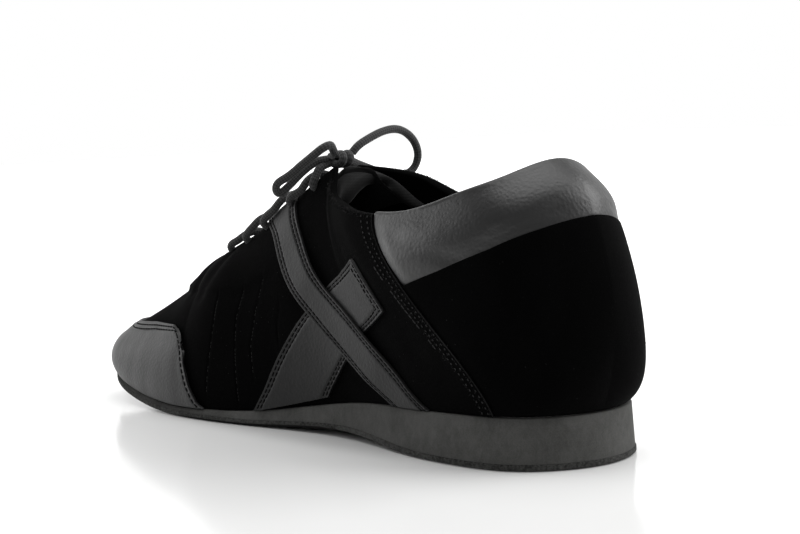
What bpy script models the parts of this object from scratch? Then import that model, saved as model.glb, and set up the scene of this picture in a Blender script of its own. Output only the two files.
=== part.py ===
"""Right dance sneaker: a suede and leather upper on a low wedge sole, closed by a round lace."""

import math

import bpy
import numpy as np

MM = 0.001


def table(columns, *rows):
    """A short table as one array for each named column."""
    return dict(zip(columns.split(), np.array(rows, float).T))


# Main sizes in millimetres. x runs from the back of the heel to the toe, y to the inner
# side of the foot and z up from the floor.
LENGTH = 288.0
ORIGIN_X = 141.55
ORIGIN_Y = -4.66
GAP = 0.3

# Sole: a thin outsole under a foam wedge.
OUTSOLE_THICK = 2.4
OUTSOLE_EDGE_ROUND = 0.8
ARCH_LIFT = 2.3
ARCH_X = 112.0
ARCH_SPAN = 115.0
TOE_SPRING = 12.5
SPRING_X = 204.0
SPRING_POWER = 1.8
SOLE_OUTLINE = table(
    "x inner outer",
    (0.0, 0.0, 0.0),
    (3.5, 14.9, 14.9),
    (14.5, 28.3, 28.3),
    (37.5, 34.8, 34.8),
    (63.0, 34.4, 35.2),
    (112.0, 28.2, 40.0),
    (158.0, 36.0, 47.0),
    (196.0, 42.6, 52.6),
    (236.0, 41.0, 43.5),
    (268.0, 33.2, 21.0),
    (283.5, 21.0, 6.0),
    (288.0, 8.3, -8.3),
)
SEAT_HEIGHT = table(
    "x above_spring",
    (0.0, 18.0),
    (40.0, 17.5),
    (72.0, 16.2),
    (95.0, 14.8),
    (113.0, 12.7),
    (135.0, 9.4),
    (158.0, 6.1),
    (182.0, 4.5),
    (205.0, 4.1),
    (288.0, 3.9),
)
WEDGE_INSET = table("x top", (0.0, 1.0), (60.0, 1.8), (112.0, 1.6), (200.0, 1.2), (288.0, 0.9))
WEDGE_BOTTOM_INSET = 0.4

# Upper: a wall that rises from the edge of the sole to the ridge, the throat and the collar.
# "along" runs from the toe tip (0) to the back of the heel (1) on each side.
FEATHER_INSET = 0.9
WALL = 2.6
COLLAR_PAD = 2.4
RECESS = 1.6
THROAT_AT = 0.31
CORNER_AT = 0.69
SEAM_AT = 0.86
SEAM_STEP = 0.002
PAD_ALONG = 0.12
PAD_FROM_UP = 0.55
PAD_UP = 0.3
RIDGE = table("x y", (0.0, 0.0), (118.0, 5.0), (160.0, 5.2), (200.0, 6.2), (247.0, 7.0), (288.0, 8.3))
TOP_LINE = table(
    "along x off z",
    (0.000, 247.0, 0.0, 41.0),
    (0.100, 236.0, 0.0, 47.0),
    (0.200, 224.0, 0.0, 54.4),
    (0.310, 211.0, 0.0, 64.0),
    (0.340, 203.0, 4.5, 66.8),
    (0.420, 184.0, 7.5, 73.5),
    (0.470, 172.0, 7.5, 79.5),
    (0.530, 160.0, 7.2, 86.0),
    (0.610, 145.0, 6.8, 94.2),
    (0.690, 131.0, 6.0, 101.4),
    (0.735, 121.0, 12.5, 100.0),
    (0.790, 108.0, 22.0, 96.0),
    (0.858, 87.0, 28.5, 87.3),
    (0.905, 59.5, 30.0, 87.2),
    (0.945, 36.0, 27.0, 93.7),
    (0.975, 22.9, 18.0, 99.0),
    (1.000, 17.5, 0.0, 103.6),
)
# On the inner side the collar is scooped out behind the throat's corner.
INNER_SCOOP = table(
    "along down out",
    (0.690, 0.0, 0.0),
    (0.702, 4.2, 1.6),
    (0.718, 6.9, 2.9),
    (0.735, 8.6, 2.5),
    (0.750, 8.8, 1.9),
    (0.775, 8.0, 0.8),
    (0.803, 5.7, 0.0),
    (0.832, 2.9, 0.0),
    (0.860, 0.8, 0.0),
    (0.900, 0.0, 0.0),
    (1.000, 0.0, 0.0),
)
SECTIONS = table(
    "along swell lift reach dip",
    (0.00, 8.0, 12.0, 22.0, 0.0),
    (0.10, 11.0, 10.0, 19.0, 0.0),
    (0.20, 7.5, 15.0, 18.5, 0.0),
    (0.31, 5.0, 19.0, 24.0, 8.0),
    (0.42, 3.5, 22.0, 22.0, 30.0),
    (0.52, 3.0, 24.0, 23.0, 44.0),
    (0.69, 4.0, 24.0, 24.0, 60.0),
    (0.79, 5.5, 22.0, 20.0, 72.0),
    (0.86, 10.0, 21.0, 20.0, 70.0),
    (0.94, 18.2, 13.2, 23.4, 51.5),
    (1.00, 12.4, 18.2, 33.1, 33.6),
)

# Panels laid over the upper, as side-view outlines of x and z.
PANEL_THICK = 1.1
PANEL_HALF_WIDTH = 80.0
TOE_CAP_ALONG = 0.42
TOE_CAP_UP = 0.84
STRAP_ALONG = 0.3
STRAP_INNERMOST = 4.0
STRAP_CROSSING = (109.0, 43.0)
CROSSING_REACH = 46.0
CROSSING_EASE = 22.0
TOE_CAP_EDGE = table(
    "x z",
    (188.0, -5.0),
    (190.5, 4.6),
    (193.6, 15.9),
    (200.0, 27.0),
    (206.0, 33.5),
    (212.0, 36.4),
    (231.0, 35.8),
    (254.0, 33.8),
    (275.0, 32.6),
    (310.0, 32.0),
    (310.0, -5.0),
)
STRAP_FRONT_EDGE = table(
    "x z",
    (166.0, -5.0),
    (159.3, 6.3),
    (152.9, 15.1),
    (146.6, 26.4),
    (139.0, 37.7),
    (131.2, 46.1),
    (116.2, 57.3),
    (93.8, 68.9),
    (72.9, 51.3),
    (82.0, 46.3),
    (92.8, 40.7),
    (99.5, 35.3),
    (106.6, 29.6),
    (113.9, 21.9),
    (120.3, 13.7),
    (131.0, -5.0),
)
STRAP_REAR_EDGE = table(
    "x z",
    (181.0, 88.0),
    (172.0, 79.0),
    (159.5, 73.5),
    (146.4, 59.4),
    (129.7, 46.5),
    (117.3, 40.6),
    (101.7, 30.2),
    (91.1, 24.4),
    (81.0, 19.4),
    (50.0, 3.0),
    (30.0, 3.0),
    (54.8, 18.5),
    (65.3, 25.7),
    (76.7, 34.3),
    (91.5, 43.2),
    (105.7, 51.5),
    (124.1, 60.6),
    (140.7, 76.3),
    (152.0, 88.0),
    (160.0, 96.0),
)
COLLAR_EDGE = table(
    "x z",
    (120.0, 41.0),
    (57.4, 59.8),
    (40.3, 65.4),
    (20.5, 73.0),
    (7.6, 79.3),
    (3.0, 81.8),
    (0.5, 83.0),
    (-20.0, 88.0),
)
COUNTER_REACH = -20.0
COLLAR_REACH = 130.0

# Tongue and insole.
INSOLE_THICK = 3.0
TONGUE_THICK = 2.8
TONGUE_REACH = 0.2
TONGUE_RISE = 7.0
BRIDGE_PULL = 0.8

# Lace: crossings through five pairs of holes, and a bow at the top.
LACE_RADIUS = 1.6
LACE_REACH = 0.09
LACE_ROWS = (0.365, 0.43, 0.495, 0.56, 0.63)
LACE_OVER_STRAPS = (0.5, 0.12, 0.05)
LACE_TAIL = table(
    "along across rise",
    (0.632, 0.75, 0.0),
    (0.634, 0.5, 0.1),
    (0.635, 0.2, 0.3),
    (0.635, -0.05, 0.3),
)
KNOT_CENTRE = (136.0, 3.8, 103.4)
KNOT_SIZE = (9.0, 11.0, 7.2)
LOOP_INNER = table(
    "x y z",
    (134.3, 8.1, 105.6),
    (133.0, 10.2, 107.9),
    (131.0, 13.2, 109.2),
    (131.6, 16.2, 108.0),
    (135.0, 18.5, 105.2),
    (140.0, 21.0, 101.4),
    (145.0, 24.5, 97.2),
    (148.6, 26.6, 93.6),
    (149.0, 25.4, 91.4),
    (147.2, 22.8, 93.4),
    (145.2, 18.8, 97.8),
    (143.0, 14.6, 101.9),
    (140.7, 10.8, 103.9),
    (138.7, 8.4, 103.8),
)
LOOP_OUTER = table(
    "x y z",
    (135.0, -0.8, 105.7),
    (134.4, -2.8, 107.8),
    (134.2, -7.6, 110.4),
    (134.5, -13.0, 112.4),
    (135.0, -18.0, 113.6),
    (135.5, -24.0, 113.8),
    (136.0, -29.5, 111.8),
    (136.2, -33.5, 107.8),
    (136.6, -35.0, 102.6),
    (138.0, -33.0, 99.0),
    (138.4, -27.0, 98.6),
    (138.4, -19.0, 100.4),
    (138.3, -11.0, 101.7),
    (138.1, -4.5, 102.0),
    (137.2, -1.6, 102.7),
)

# How finely the round forms are divided.
STATION_SPANS = (
    (0.0, THROAT_AT, 13),
    (THROAT_AT, CORNER_AT, 13),
    (CORNER_AT, SEAM_AT, 6),
    (SEAM_AT, 1.0, 11),
)
WALL_STEPS = 10
LACE_SIDES = 8
CROSSING_STEPS = 6
CORD_RINGS = 26
KNOT_FACETS = (7, 12)
TONGUE_FACETS = (4, 7)
INNER, OUTER = 1.0, -1.0


# Curves

def spline(knots, values, at, start=None, end=None):
    """Smooth cubic through values at knots, read at the given places; end slopes are natural or given."""
    knots, values = np.asarray(knots, float), np.asarray(values, float)
    step = np.diff(knots)
    rise = np.diff(values) / step
    count = len(knots)
    left, right = np.zeros((count, count)), np.zeros(count)
    for i in range(1, count - 1):
        left[i, i - 1 : i + 2] = 1 / step[i - 1], 2 / step[i - 1] + 2 / step[i], 1 / step[i]
        right[i] = 3 * (rise[i - 1] / step[i - 1] + rise[i] / step[i])
    for i, slope, near in ((0, start, 1), (count - 1, end, count - 2)):
        left[i, i] = 1 if slope is not None else 2
        left[i, near] = 0 if slope is not None else 1
        right[i] = slope if slope is not None else 3 * rise[min(i, near)]
    slopes = np.linalg.solve(left, right)
    at = np.asarray(at, float)
    k = np.clip(np.searchsorted(knots, at) - 1, 0, count - 2)
    t = (at - knots[k]) / step[k]
    return (
        values[k] * (1 + 2 * t) * (1 - t) ** 2
        + slopes[k] * step[k] * t * (1 - t) ** 2
        + values[k + 1] * t * t * (3 - 2 * t)
        + slopes[k + 1] * step[k] * t * t * (t - 1)
    )


def column(rows, name, at, key="x"):
    return spline(rows[key], rows[name], at)


def ease(t):
    """A smooth rise from 0 to 1."""
    t = np.clip(t, 0, 1)
    return t * t * (3 - 2 * t)


def stations():
    """Places from the toe tip (0) to the back of the heel (1), with one on each named place."""
    places = [np.linspace(low, high, count, endpoint=False) for low, high, count in STATION_SPANS]
    return np.append(np.concatenate(places), 1.0)


# Sole lines

def floor_line(x):
    """Height of the outsole's lower face: flat at heel and ball, lifted at the arch and the toe."""
    arch = np.cos(np.pi * np.clip((x - ARCH_X) / ARCH_SPAN, -0.5, 0.5)) ** 2
    spring = np.clip((x - SPRING_X) / (LENGTH - SPRING_X), 0, None) ** SPRING_POWER
    return ARCH_LIFT * arch + TOE_SPRING * spring


def seat_line(x):
    """Height of the wedge's upper face, on which the upper stands."""
    spring = np.clip((x - SPRING_X) / (LENGTH - SPRING_X), 0, None) ** SPRING_POWER
    return column(SEAT_HEIGHT, "above_spring", x) + TOE_SPRING * spring


def edge(side, along, inset=0.0):
    """Points and outward normals of the sole's outline on one side, at places from toe tip to heel."""
    rows = SOLE_OUTLINE
    points = np.array([rows["x"], side * rows["inner" if side > 0 else "outer"]])[:, ::-1]
    chord = np.concatenate([[0], np.cumsum(np.hypot(*np.diff(points, axis=1)))])
    place = np.asarray(along, float) * chord[-1]

    def position(p):
        x = spline(chord, points[0], p, 0.0, 0.0)
        y = spline(chord, points[1], p, side, -side)
        return np.array([x, y])

    small = 0.05
    tangent = position(place + small) - position(place - small)
    tangent /= np.hypot(*tangent)
    normal = np.array([side * tangent[1], -side * tangent[0]])
    return position(place) - inset * normal, normal


# Upper surface

def top_line(side, along):
    """The ridge of the vamp, then the throat's edge, then the collar, as three joined curves."""
    rows = TOP_LINE
    spans = ((0.0, THROAT_AT), (THROAT_AT, CORNER_AT), (CORNER_AT, 1.0))
    place = np.asarray(along, float)
    found = np.zeros((3, len(place)))
    for low, high in spans:
        inside = (place >= low) & (place <= high)
        use = (rows["along"] >= low) & (rows["along"] <= high)
        flat_end = 0.0 if high == 1.0 else None
        knots = rows["along"][use]
        x = spline(knots, rows["x"][use], place[inside], None, flat_end)
        off = spline(knots, rows["off"][use], place[inside])
        z = spline(knots, rows["z"][use], place[inside], None, flat_end)
        if side > 0 and low == CORNER_AT:
            off = off + column(INNER_SCOOP, "out", place[inside], "along")
            z = z - column(INNER_SCOOP, "down", place[inside], "along")
        found[:, inside] = x, column(RIDGE, "y", x) + side * off, z
    return found


def wall_point(side, along, up):
    """Outer face of the upper: along runs from toe to heel, up from the sole's edge to the top line."""
    along, up = np.broadcast_arrays(np.asarray(along, float), np.asarray(up, float))
    shape, along, up = along.shape, along.ravel(), up.ravel()
    line, normal = edge(side, along)
    inset = column(WEDGE_INSET, "top", line[0]) + FEATHER_INSET
    foot = line - inset * normal
    foot = np.array([foot[0], foot[1], seat_line(line[0]) + GAP])
    out = np.array([normal[0], normal[1], np.zeros_like(along)])
    top = top_line(side, along)
    step = 0.004
    lean = top_line(side, np.clip(along, step, THROAT_AT - step) + step) - top_line(
        side, np.clip(along, step, THROAT_AT - step) - step
    )
    slope = np.where(along < THROAT_AT, lean[2] / lean[0], 0.0)
    row = {name: column(SECTIONS, name, along, "along") for name in SECTIONS}
    dip = np.radians(row["dip"])
    low = foot + row["swell"] * out
    low[2] += row["lift"]
    high = top + row["reach"] * np.cos(dip) * out
    high[2] += row["reach"] * (normal[0] * slope * np.cos(dip) - np.sin(dip))
    a, b = 1 - up, up
    point = a**3 * foot + 3 * a * a * b * low + 3 * a * b * b * high + b**3 * top
    return point.reshape((3,) + shape)


def wall_normal(side, along, up):
    """Outward unit normal of the upper's outer face; the ridge's front end takes the ridge's own."""
    small = 0.003
    along = np.where(up > 0.96, np.maximum(along, 0.05), along)
    low_s, high_s = np.clip(along - small, 0, 1), np.clip(along + small, 0, 1)
    low_u, high_u = np.clip(up - small, 0, 1), np.clip(up + small, 0, 1)
    run = wall_point(side, high_s, up) - wall_point(side, low_s, up)
    rise = wall_point(side, along, high_u) - wall_point(side, along, low_u)
    normal = side * np.cross(run, rise, axis=0)
    return normal / np.linalg.norm(normal, axis=0)


# Mesh building

def add_object(name, points, faces, material):
    mesh = bpy.data.meshes.new(name)
    place = (np.asarray(points, float) - (ORIGIN_X, ORIGIN_Y, 0.0)) * MM
    mesh.from_pydata([tuple(p) for p in place], [], faces)
    mesh.update()
    mesh.materials.append(material)
    made = bpy.data.objects.new(name, mesh)
    bpy.context.scene.collection.objects.link(made)
    return made


def finish(name, colour, roughness):
    made = bpy.data.materials.new(name)
    made.use_nodes = True
    shader = made.node_tree.nodes["Principled BSDF"]
    shader.inputs["Base Color"].default_value = (*colour, 1.0)
    shader.inputs["Roughness"].default_value = roughness
    return made


def combine(keep, tool, operation):
    """Cuts or joins one solid with another and removes the second."""
    change = keep.modifiers.new(operation, "BOOLEAN")
    change.operation = operation
    change.solver = "EXACT"
    change.object = tool
    graph = bpy.context.evaluated_depsgraph_get()
    mesh = bpy.data.meshes.new_from_object(keep.evaluated_get(graph))
    keep.modifiers.clear()
    keep.data = mesh
    bpy.data.objects.remove(tool)
    return keep


def grid_faces(columns, rows):
    """Faces of a grid numbered row by row, turned to face outwards on the inner side."""
    return [
        (i * rows + j, (i + 1) * rows + j, (i + 1) * rows + j + 1, i * rows + j + 1)
        for i in range(columns - 1)
        for j in range(rows - 1)
    ]


def thick_sheet(name, outside, inside, material):
    """A closed sheet between two grids of the same size, each an array of (3, columns, rows)."""
    columns, rows = outside.shape[1:]
    count = columns * rows
    faces = grid_faces(columns, rows)
    faces += [tuple(count + face[k] for k in (0, 3, 2, 1)) for face in faces]
    rim = [i * rows for i in range(columns)]
    rim += [(columns - 1) * rows + j for j in range(1, rows)]
    rim += [i * rows + rows - 1 for i in range(columns - 2, -1, -1)]
    rim += [j for j in range(rows - 2, 0, -1)]
    for here, ahead in zip(rim, rim[1:] + rim[:1]):
        faces.append((ahead, here, count + here, count + ahead))
    points = np.concatenate([outside.reshape(3, -1), inside.reshape(3, -1)], axis=1).T
    return add_object(name, points, faces, material)


# Sole

def ring_points(inset, height):
    """One closed ring of the sole's outline: inner side from toe to heel, then outer side back."""
    along = stations()
    rows = []
    for side, places in ((INNER, along), (OUTER, along[-2:0:-1])):
        line, normal = edge(side, places)
        place = line - inset(line[0]) * normal
        rows.append(np.array([place[0], place[1], height(line[0])]))
    return np.concatenate(rows, axis=1).T


def plate(name, layers, material):
    """A closed solid from rings stacked upwards, closed below and above by rungs from side to side."""
    rings = [ring_points(inset, height) for inset, height in layers]
    count = len(rings[0])
    faces = []
    for level in range(len(rings) - 1):
        for i in range(count):
            a, b = level * count + i, level * count + (i + 1) % count
            faces.append((a, b, b + count, a + count))
    last = (len(rings) - 1) * count
    for i in range(count // 2):
        rung = [i, i + 1, count - i - 1, (count - i) % count]
        corners = list(dict.fromkeys(rung))
        faces.append(tuple(reversed(corners)))
        faces.append(tuple(last + c for c in corners))
    return add_object(name, np.concatenate(rings), faces, material)


def build_outsole(material):
    layers = [
        (lambda x: OUTSOLE_EDGE_ROUND, floor_line),
        (lambda x: 0.0, lambda x: floor_line(x) + OUTSOLE_EDGE_ROUND),
        (lambda x: 0.0, lambda x: floor_line(x) + OUTSOLE_THICK),
    ]
    return plate("outsole", layers, material)


def build_midsole(material):
    layers = [
        (lambda x: WEDGE_BOTTOM_INSET, lambda x: floor_line(x) + OUTSOLE_THICK + GAP),
        (lambda x: column(WEDGE_INSET, "top", x), seat_line),
    ]
    return plate("midsole", layers, material)


def build_insole(material):
    def inset(x):
        return column(WEDGE_INSET, "top", x) + FEATHER_INSET + WALL + 2 * GAP

    layers = [
        (inset, lambda x: seat_line(x) + GAP),
        (inset, lambda x: seat_line(x) + GAP + INSOLE_THICK),
    ]
    return plate("insole", layers, material)


# Upper and the panels on it

def offset_point(side, along, up, offset):
    """A point off the upper's surface, never below the edge on which the upper stands."""
    point = wall_point(side, along, up) + offset * wall_normal(side, along, up)
    foot = wall_point(side, along, np.zeros_like(up))[2]
    point[2] = np.where(up == 0, foot, np.maximum(point[2], foot))
    return point


def base_offset(along):
    """Outer face of the upper's wall: set back behind the rear seam, where two panels lie in it."""
    return np.where(along > SEAM_AT, -RECESS, 0.0)


def lining_offset(along, up):
    """Inner face of the upper's wall, with a pad towards the collar."""
    return -WALL - COLLAR_PAD * ease((along - CORNER_AT) / PAD_ALONG) * ease((up - PAD_FROM_UP) / PAD_UP)


def build_upper(material):
    along = np.sort(np.append(stations(), SEAM_AT + SEAM_STEP))
    ups = np.linspace(0, 1, WALL_STEPS + 1)
    closed = along <= THROAT_AT + 1e-6
    last = len(along) - 1
    a, u = np.meshgrid(along, ups, indexing="ij")
    grids = {}
    for side in (INNER, OUTER):
        grids[1, side] = offset_point(side, a, u, base_offset(a))
        grids[0, side] = offset_point(side, a, u, lining_offset(a, u))
    points, index = [], {}

    def vertex(layer, side, i, j):
        shared = i in (0, last) or (j == WALL_STEPS and closed[i])
        key = (layer, INNER if shared else side, i, j)
        if key not in index:
            index[key] = len(points)
            points.append(grids[layer, key[1]][:, i, j])
        return index[key]

    faces = []
    for side in (INNER, OUTER):
        turn = 1 if side > 0 else -1
        for i in range(last):
            for j in range(WALL_STEPS):
                corners = [(i, j), (i + 1, j), (i + 1, j + 1), (i, j + 1)]
                if side < 0:
                    corners = [corners[k] for k in (1, 0, 3, 2)]
                faces.append(tuple(vertex(1, side, *corners[k]) for k in (0, 1, 2, 3)))
                faces.append(tuple(vertex(0, side, *corners[k]) for k in (0, 3, 2, 1)))
            for j, flip in ((0, -turn), (WALL_STEPS, turn)):
                if j and closed[i + 1]:
                    continue
                rim = [vertex(1, side, i, j), vertex(1, side, i + 1, j)]
                rim += [vertex(0, side, i + 1, j), vertex(0, side, i, j)]
                faces.append(tuple(rim[::flip]))
    return add_object("upper", points, faces, material)


def prism(outline, low, high):
    """A block with a side-view outline, reaching from one y to another."""
    count = len(outline["x"])
    points = [(x, y, z) for y in (low, high) for x, z in zip(outline["x"], outline["z"])]
    faces = [tuple(range(count)), tuple(reversed(range(count, 2 * count)))]
    for i in range(count):
        j = (i + 1) % count
        faces.append((j, i, count + i, count + j))
    return add_object("cutter", points, faces, None)


def layer(name, places, ups, low, high, material):
    """A sheet over the upper for (side, along) places, between two offsets from its surface."""
    sides = np.array([side for side, _ in places])
    along = np.array([place for _, place in places])
    a, u = np.meshgrid(along, ups, indexing="ij")
    sheets = []
    for offset in (high, low):
        lift = offset(a, u) if callable(offset) else offset
        both = {side: offset_point(side, a, u, lift) for side in (INNER, OUTER)}
        sheets.append(np.where(sides[None, :, None] > 0, both[INNER], both[OUTER]))
    return thick_sheet(name, sheets[0], sheets[1], material)


def level_steps(high=1.0):
    ups = np.linspace(0, 1, WALL_STEPS + 1)
    return ups[ups <= high + 1e-6]


def build_toe_cap(material):
    along = stations()
    near = along[along < TOE_CAP_ALONG]
    places = [(OUTER, place) for place in near[:0:-1]] + [(INNER, place) for place in near]
    made = layer("toe_cap", places, level_steps(TOE_CAP_UP), GAP, GAP + PANEL_THICK, material)
    return combine(made, prism(TOE_CAP_EDGE, -PANEL_HALF_WIDTH, PANEL_HALF_WIDTH), "INTERSECT")


def build_rear_panels(suede, leather):
    """The counter below and the collar panel above, both in the recess behind the rear seam."""
    along = stations()
    rear = np.append(SEAM_AT + 2 * SEAM_STEP, along[along > SEAM_AT + 1e-6])
    places = [(INNER, place) for place in rear] + [(OUTER, place) for place in rear[-2::-1]]
    edge_x, edge_z = COLLAR_EDGE["x"], COLLAR_EDGE["z"]
    made = []
    for name, shift, far, material in (
        ("heel_counter", -GAP, COUNTER_REACH, suede),
        ("collar", GAP, COLLAR_REACH, leather),
    ):
        outline = {
            "x": np.concatenate([edge_x, edge_x[[-1, 0]]]),
            "z": np.concatenate([edge_z + shift / 2, [far, far]]),
        }
        sheet = layer(name, places, level_steps(), -PANEL_THICK, 0.0, material)
        made.append(combine(sheet, prism(outline, -PANEL_HALF_WIDTH, PANEL_HALF_WIDTH), "INTERSECT"))
    return made


def build_straps(side, material):
    """Two support straps that cross on each side, the rear one lying over the front one."""
    along = stations()
    word = "inner" if side > 0 else "outer"
    places = [(side, place) for place in along[(along > STRAP_ALONG) & (along < SEAM_AT + 1e-6)]]
    if side < 0:
        places.reverse()
    low, high = sorted((side * STRAP_INNERMOST, side * PANEL_HALF_WIDTH))

    def over(a, u):
        where = wall_point(side, a, u)
        away = np.hypot(where[0] - STRAP_CROSSING[0], where[2] - STRAP_CROSSING[1])
        return (GAP + PANEL_THICK) * ease((CROSSING_REACH - away) / CROSSING_EASE)

    front = layer("strap_front_" + word, places, level_steps(), GAP, GAP + PANEL_THICK, material)
    front = combine(front, prism(STRAP_FRONT_EDGE, low, high), "INTERSECT")
    rear = layer(
        "strap_rear_" + word,
        places,
        level_steps(),
        lambda a, u: GAP + over(a, u),
        lambda a, u: GAP + PANEL_THICK + over(a, u),
        material,
    )
    rear = combine(rear, prism(STRAP_REAR_EDGE, low, high), "INTERSECT")
    return front, rear


# Tongue and lace

def roof_point(along, across, offset, reach):
    """The instep from outer facing (-1) over the throat (0) to inner facing (1), moved out by an offset."""
    along, across = np.broadcast_arrays(np.asarray(along, float), np.asarray(across, float))
    beyond = np.clip(np.abs(across) - 0.5, 0, None) * 2
    up = 1 - reach * beyond
    found = []
    for side in (INNER, OUTER):
        on_wall = offset_point(side, along, up, offset)
        rim = offset_point(side, along, np.ones_like(along), offset)
        below = offset_point(side, along, np.full_like(along, 0.97), offset)
        found.append((on_wall, rim, rim - below))
    (inner, inner_rim, inner_run), (outer, outer_rim, outer_run) = found
    width = np.linalg.norm(inner_rim - outer_rim, axis=0)
    inner_run = inner_run / np.linalg.norm(inner_run, axis=0) * width * BRIDGE_PULL
    outer_run = outer_run / np.linalg.norm(outer_run, axis=0) * width * BRIDGE_PULL
    t = np.clip(across + 0.5, 0, 1)
    bridge = (
        outer_rim * (1 + 2 * t) * (1 - t) ** 2
        + outer_run * t * (1 - t) ** 2
        + inner_rim * t * t * (3 - 2 * t)
        - inner_run * t * t * (t - 1)
    )
    return np.where(across > 0.5, inner, np.where(across < -0.5, outer, bridge))


def build_tongue(material):
    along = stations()
    along = along[(along > THROAT_AT + 1e-6) & (along <= CORNER_AT + 1e-6)]
    wing, middle = TONGUE_FACETS
    bridge = np.linspace(-0.5, 0.5, middle)[1:-1]
    across = -np.concatenate([np.linspace(-1, -0.5, wing), bridge, np.linspace(0.5, 1, wing)])
    a, c = np.meshgrid(along, across, indexing="ij")
    outside = roof_point(a, c, -WALL - 2 * GAP, TONGUE_REACH)
    run = outside[:, -1:, :] - outside[:, -2:-1, :]
    run = run.mean(axis=2, keepdims=True)
    outside = np.concatenate([outside, outside[:, -1:, :] + run / np.linalg.norm(run) * TONGUE_RISE], axis=1)
    step_s = np.gradient(outside, axis=1)
    step_a = np.gradient(outside, axis=2)
    normal = np.cross(step_s, step_a, axis=0)
    normal /= np.linalg.norm(normal, axis=0)
    return thick_sheet("tongue", outside, outside - TONGUE_THICK * normal, material)


def tube(name, path, radius, material):
    """A round cord along a path of points, with flat ends."""
    path = np.asarray(path, float)
    run = np.gradient(path, axis=0)
    run /= np.linalg.norm(run, axis=1)[:, None]
    side = np.cross(run[0], (0.3, 0.2, 1.0))
    rings = []
    turns = np.arange(LACE_SIDES) * 2 * math.pi / LACE_SIDES
    for point, ahead in zip(path, run):
        side = side - ahead * (side @ ahead)
        side /= np.linalg.norm(side)
        up = np.cross(ahead, side)
        rings.append(point + radius * (np.outer(np.cos(turns), side) + np.outer(np.sin(turns), up)))
    faces = []
    for k in range(len(path) - 1):
        for i in range(LACE_SIDES):
            j = (i + 1) % LACE_SIDES
            a, b = k * LACE_SIDES, (k + 1) * LACE_SIDES
            faces.append((a + i, a + j, b + j, b + i))
    faces.append(tuple(reversed(range(LACE_SIDES))))
    faces.append(tuple(range((len(path) - 1) * LACE_SIDES, len(path) * LACE_SIDES)))
    return add_object(name, np.concatenate(rings), faces, material)


def lace_lift(along):
    """Height of the lace's middle over the facings, raised where it passes over the straps."""
    middle, reach, run = LACE_OVER_STRAPS
    away = np.abs(np.asarray(along, float) - middle)
    return LACE_RADIUS + 2 * GAP + (PANEL_THICK + GAP) * ease((reach - away) / run)


def lace_path(start):
    """One half of the lace, from side to side up the pairs of holes and in under the knot."""
    along, across = [], []
    side = start
    for low, high in zip(LACE_ROWS, LACE_ROWS[1:]):
        way = np.linspace(0, 1, CROSSING_STEPS + 1)[:-1]
        along.append(low + (high - low) * way)
        across.append(side * (1 - 2 * way))
        side = -side
    along.append([LACE_ROWS[-1]])
    across.append([side])
    rise = np.concatenate([np.zeros(sum(len(part) for part in along)), LACE_TAIL["rise"]])
    along = np.concatenate(along + [LACE_TAIL["along"]])
    across = np.concatenate(across + [side * LACE_TAIL["across"]])
    return roof_point(along, across, lace_lift(along) + rise, LACE_REACH).T


def build_lace(material):
    first = lace_path(INNER)
    second = lace_path(OUTER)
    low = np.full(CROSSING_STEPS + 1, LACE_ROWS[0])
    bar = roof_point(low, np.linspace(-1, 1, CROSSING_STEPS + 1), lace_lift(low), LACE_REACH).T
    made = tube("lace", np.concatenate([bar[:-1], first]), LACE_RADIUS, material)
    return combine(made, tube("other_half", second, LACE_RADIUS, material), "UNION")


def cord(name, rows, material):
    points = np.array([rows["x"], rows["y"], rows["z"]]).T
    length = np.concatenate([[0], np.cumsum(np.linalg.norm(np.diff(points, axis=0), axis=1))])
    places = np.linspace(0, length[-1], CORD_RINGS)
    path = np.array([spline(length, points[:, k], places) for k in range(3)]).T
    return tube(name, path, LACE_RADIUS, material)


def build_knot(material):
    rings, segments = KNOT_FACETS
    points = [(0, 0, -1)]
    for r in range(1, rings):
        polar = math.pi * r / rings
        for k in range(segments):
            turn = 2 * math.pi * k / segments
            wide = math.sin(polar)
            points.append((wide * math.cos(turn), wide * math.sin(turn), -math.cos(polar)))
    points.append((0, 0, 1))
    last = len(points) - 1
    faces = []
    for k in range(segments):
        j = (k + 1) % segments
        faces.append((0, 1 + j, 1 + k))
        for r in range(rings - 2):
            a, b = 1 + r * segments, 1 + (r + 1) * segments
            faces.append((a + k, a + j, b + j, b + k))
        top = 1 + (rings - 2) * segments
        faces.append((top + k, top + j, last))
    place = np.array(points) * np.array(KNOT_SIZE) / 2 + np.array(KNOT_CENTRE)
    return add_object("lace_knot", place, faces, material)


def main():
    for old in list(bpy.data.objects):
        bpy.data.objects.remove(old)
    suede = finish("black_suede", (0.012, 0.012, 0.013), 0.95)
    leather = finish("black_leather", (0.03, 0.03, 0.032), 0.45)
    foam = finish("grey_foam", (0.06, 0.06, 0.06), 0.85)
    rubber = finish("dark_outsole", (0.025, 0.026, 0.026), 0.9)
    lining = finish("black_lining", (0.01, 0.01, 0.01), 0.9)
    braid = finish("black_braid", (0.014, 0.014, 0.015), 0.85)
    build_outsole(rubber)
    build_midsole(foam)
    build_insole(lining)
    build_upper(suede)
    build_toe_cap(leather)
    build_rear_panels(suede, leather)
    build_straps(INNER, leather)
    build_straps(OUTER, leather)
    build_tongue(lining)
    build_lace(braid)
    build_knot(braid)
    cord("lace_loop_inner", LOOP_INNER, braid)
    cord("lace_loop_outer", LOOP_OUTER, braid)


main()
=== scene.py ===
import math

import bpy
import numpy as np
from mathutils import Matrix, Vector


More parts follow.
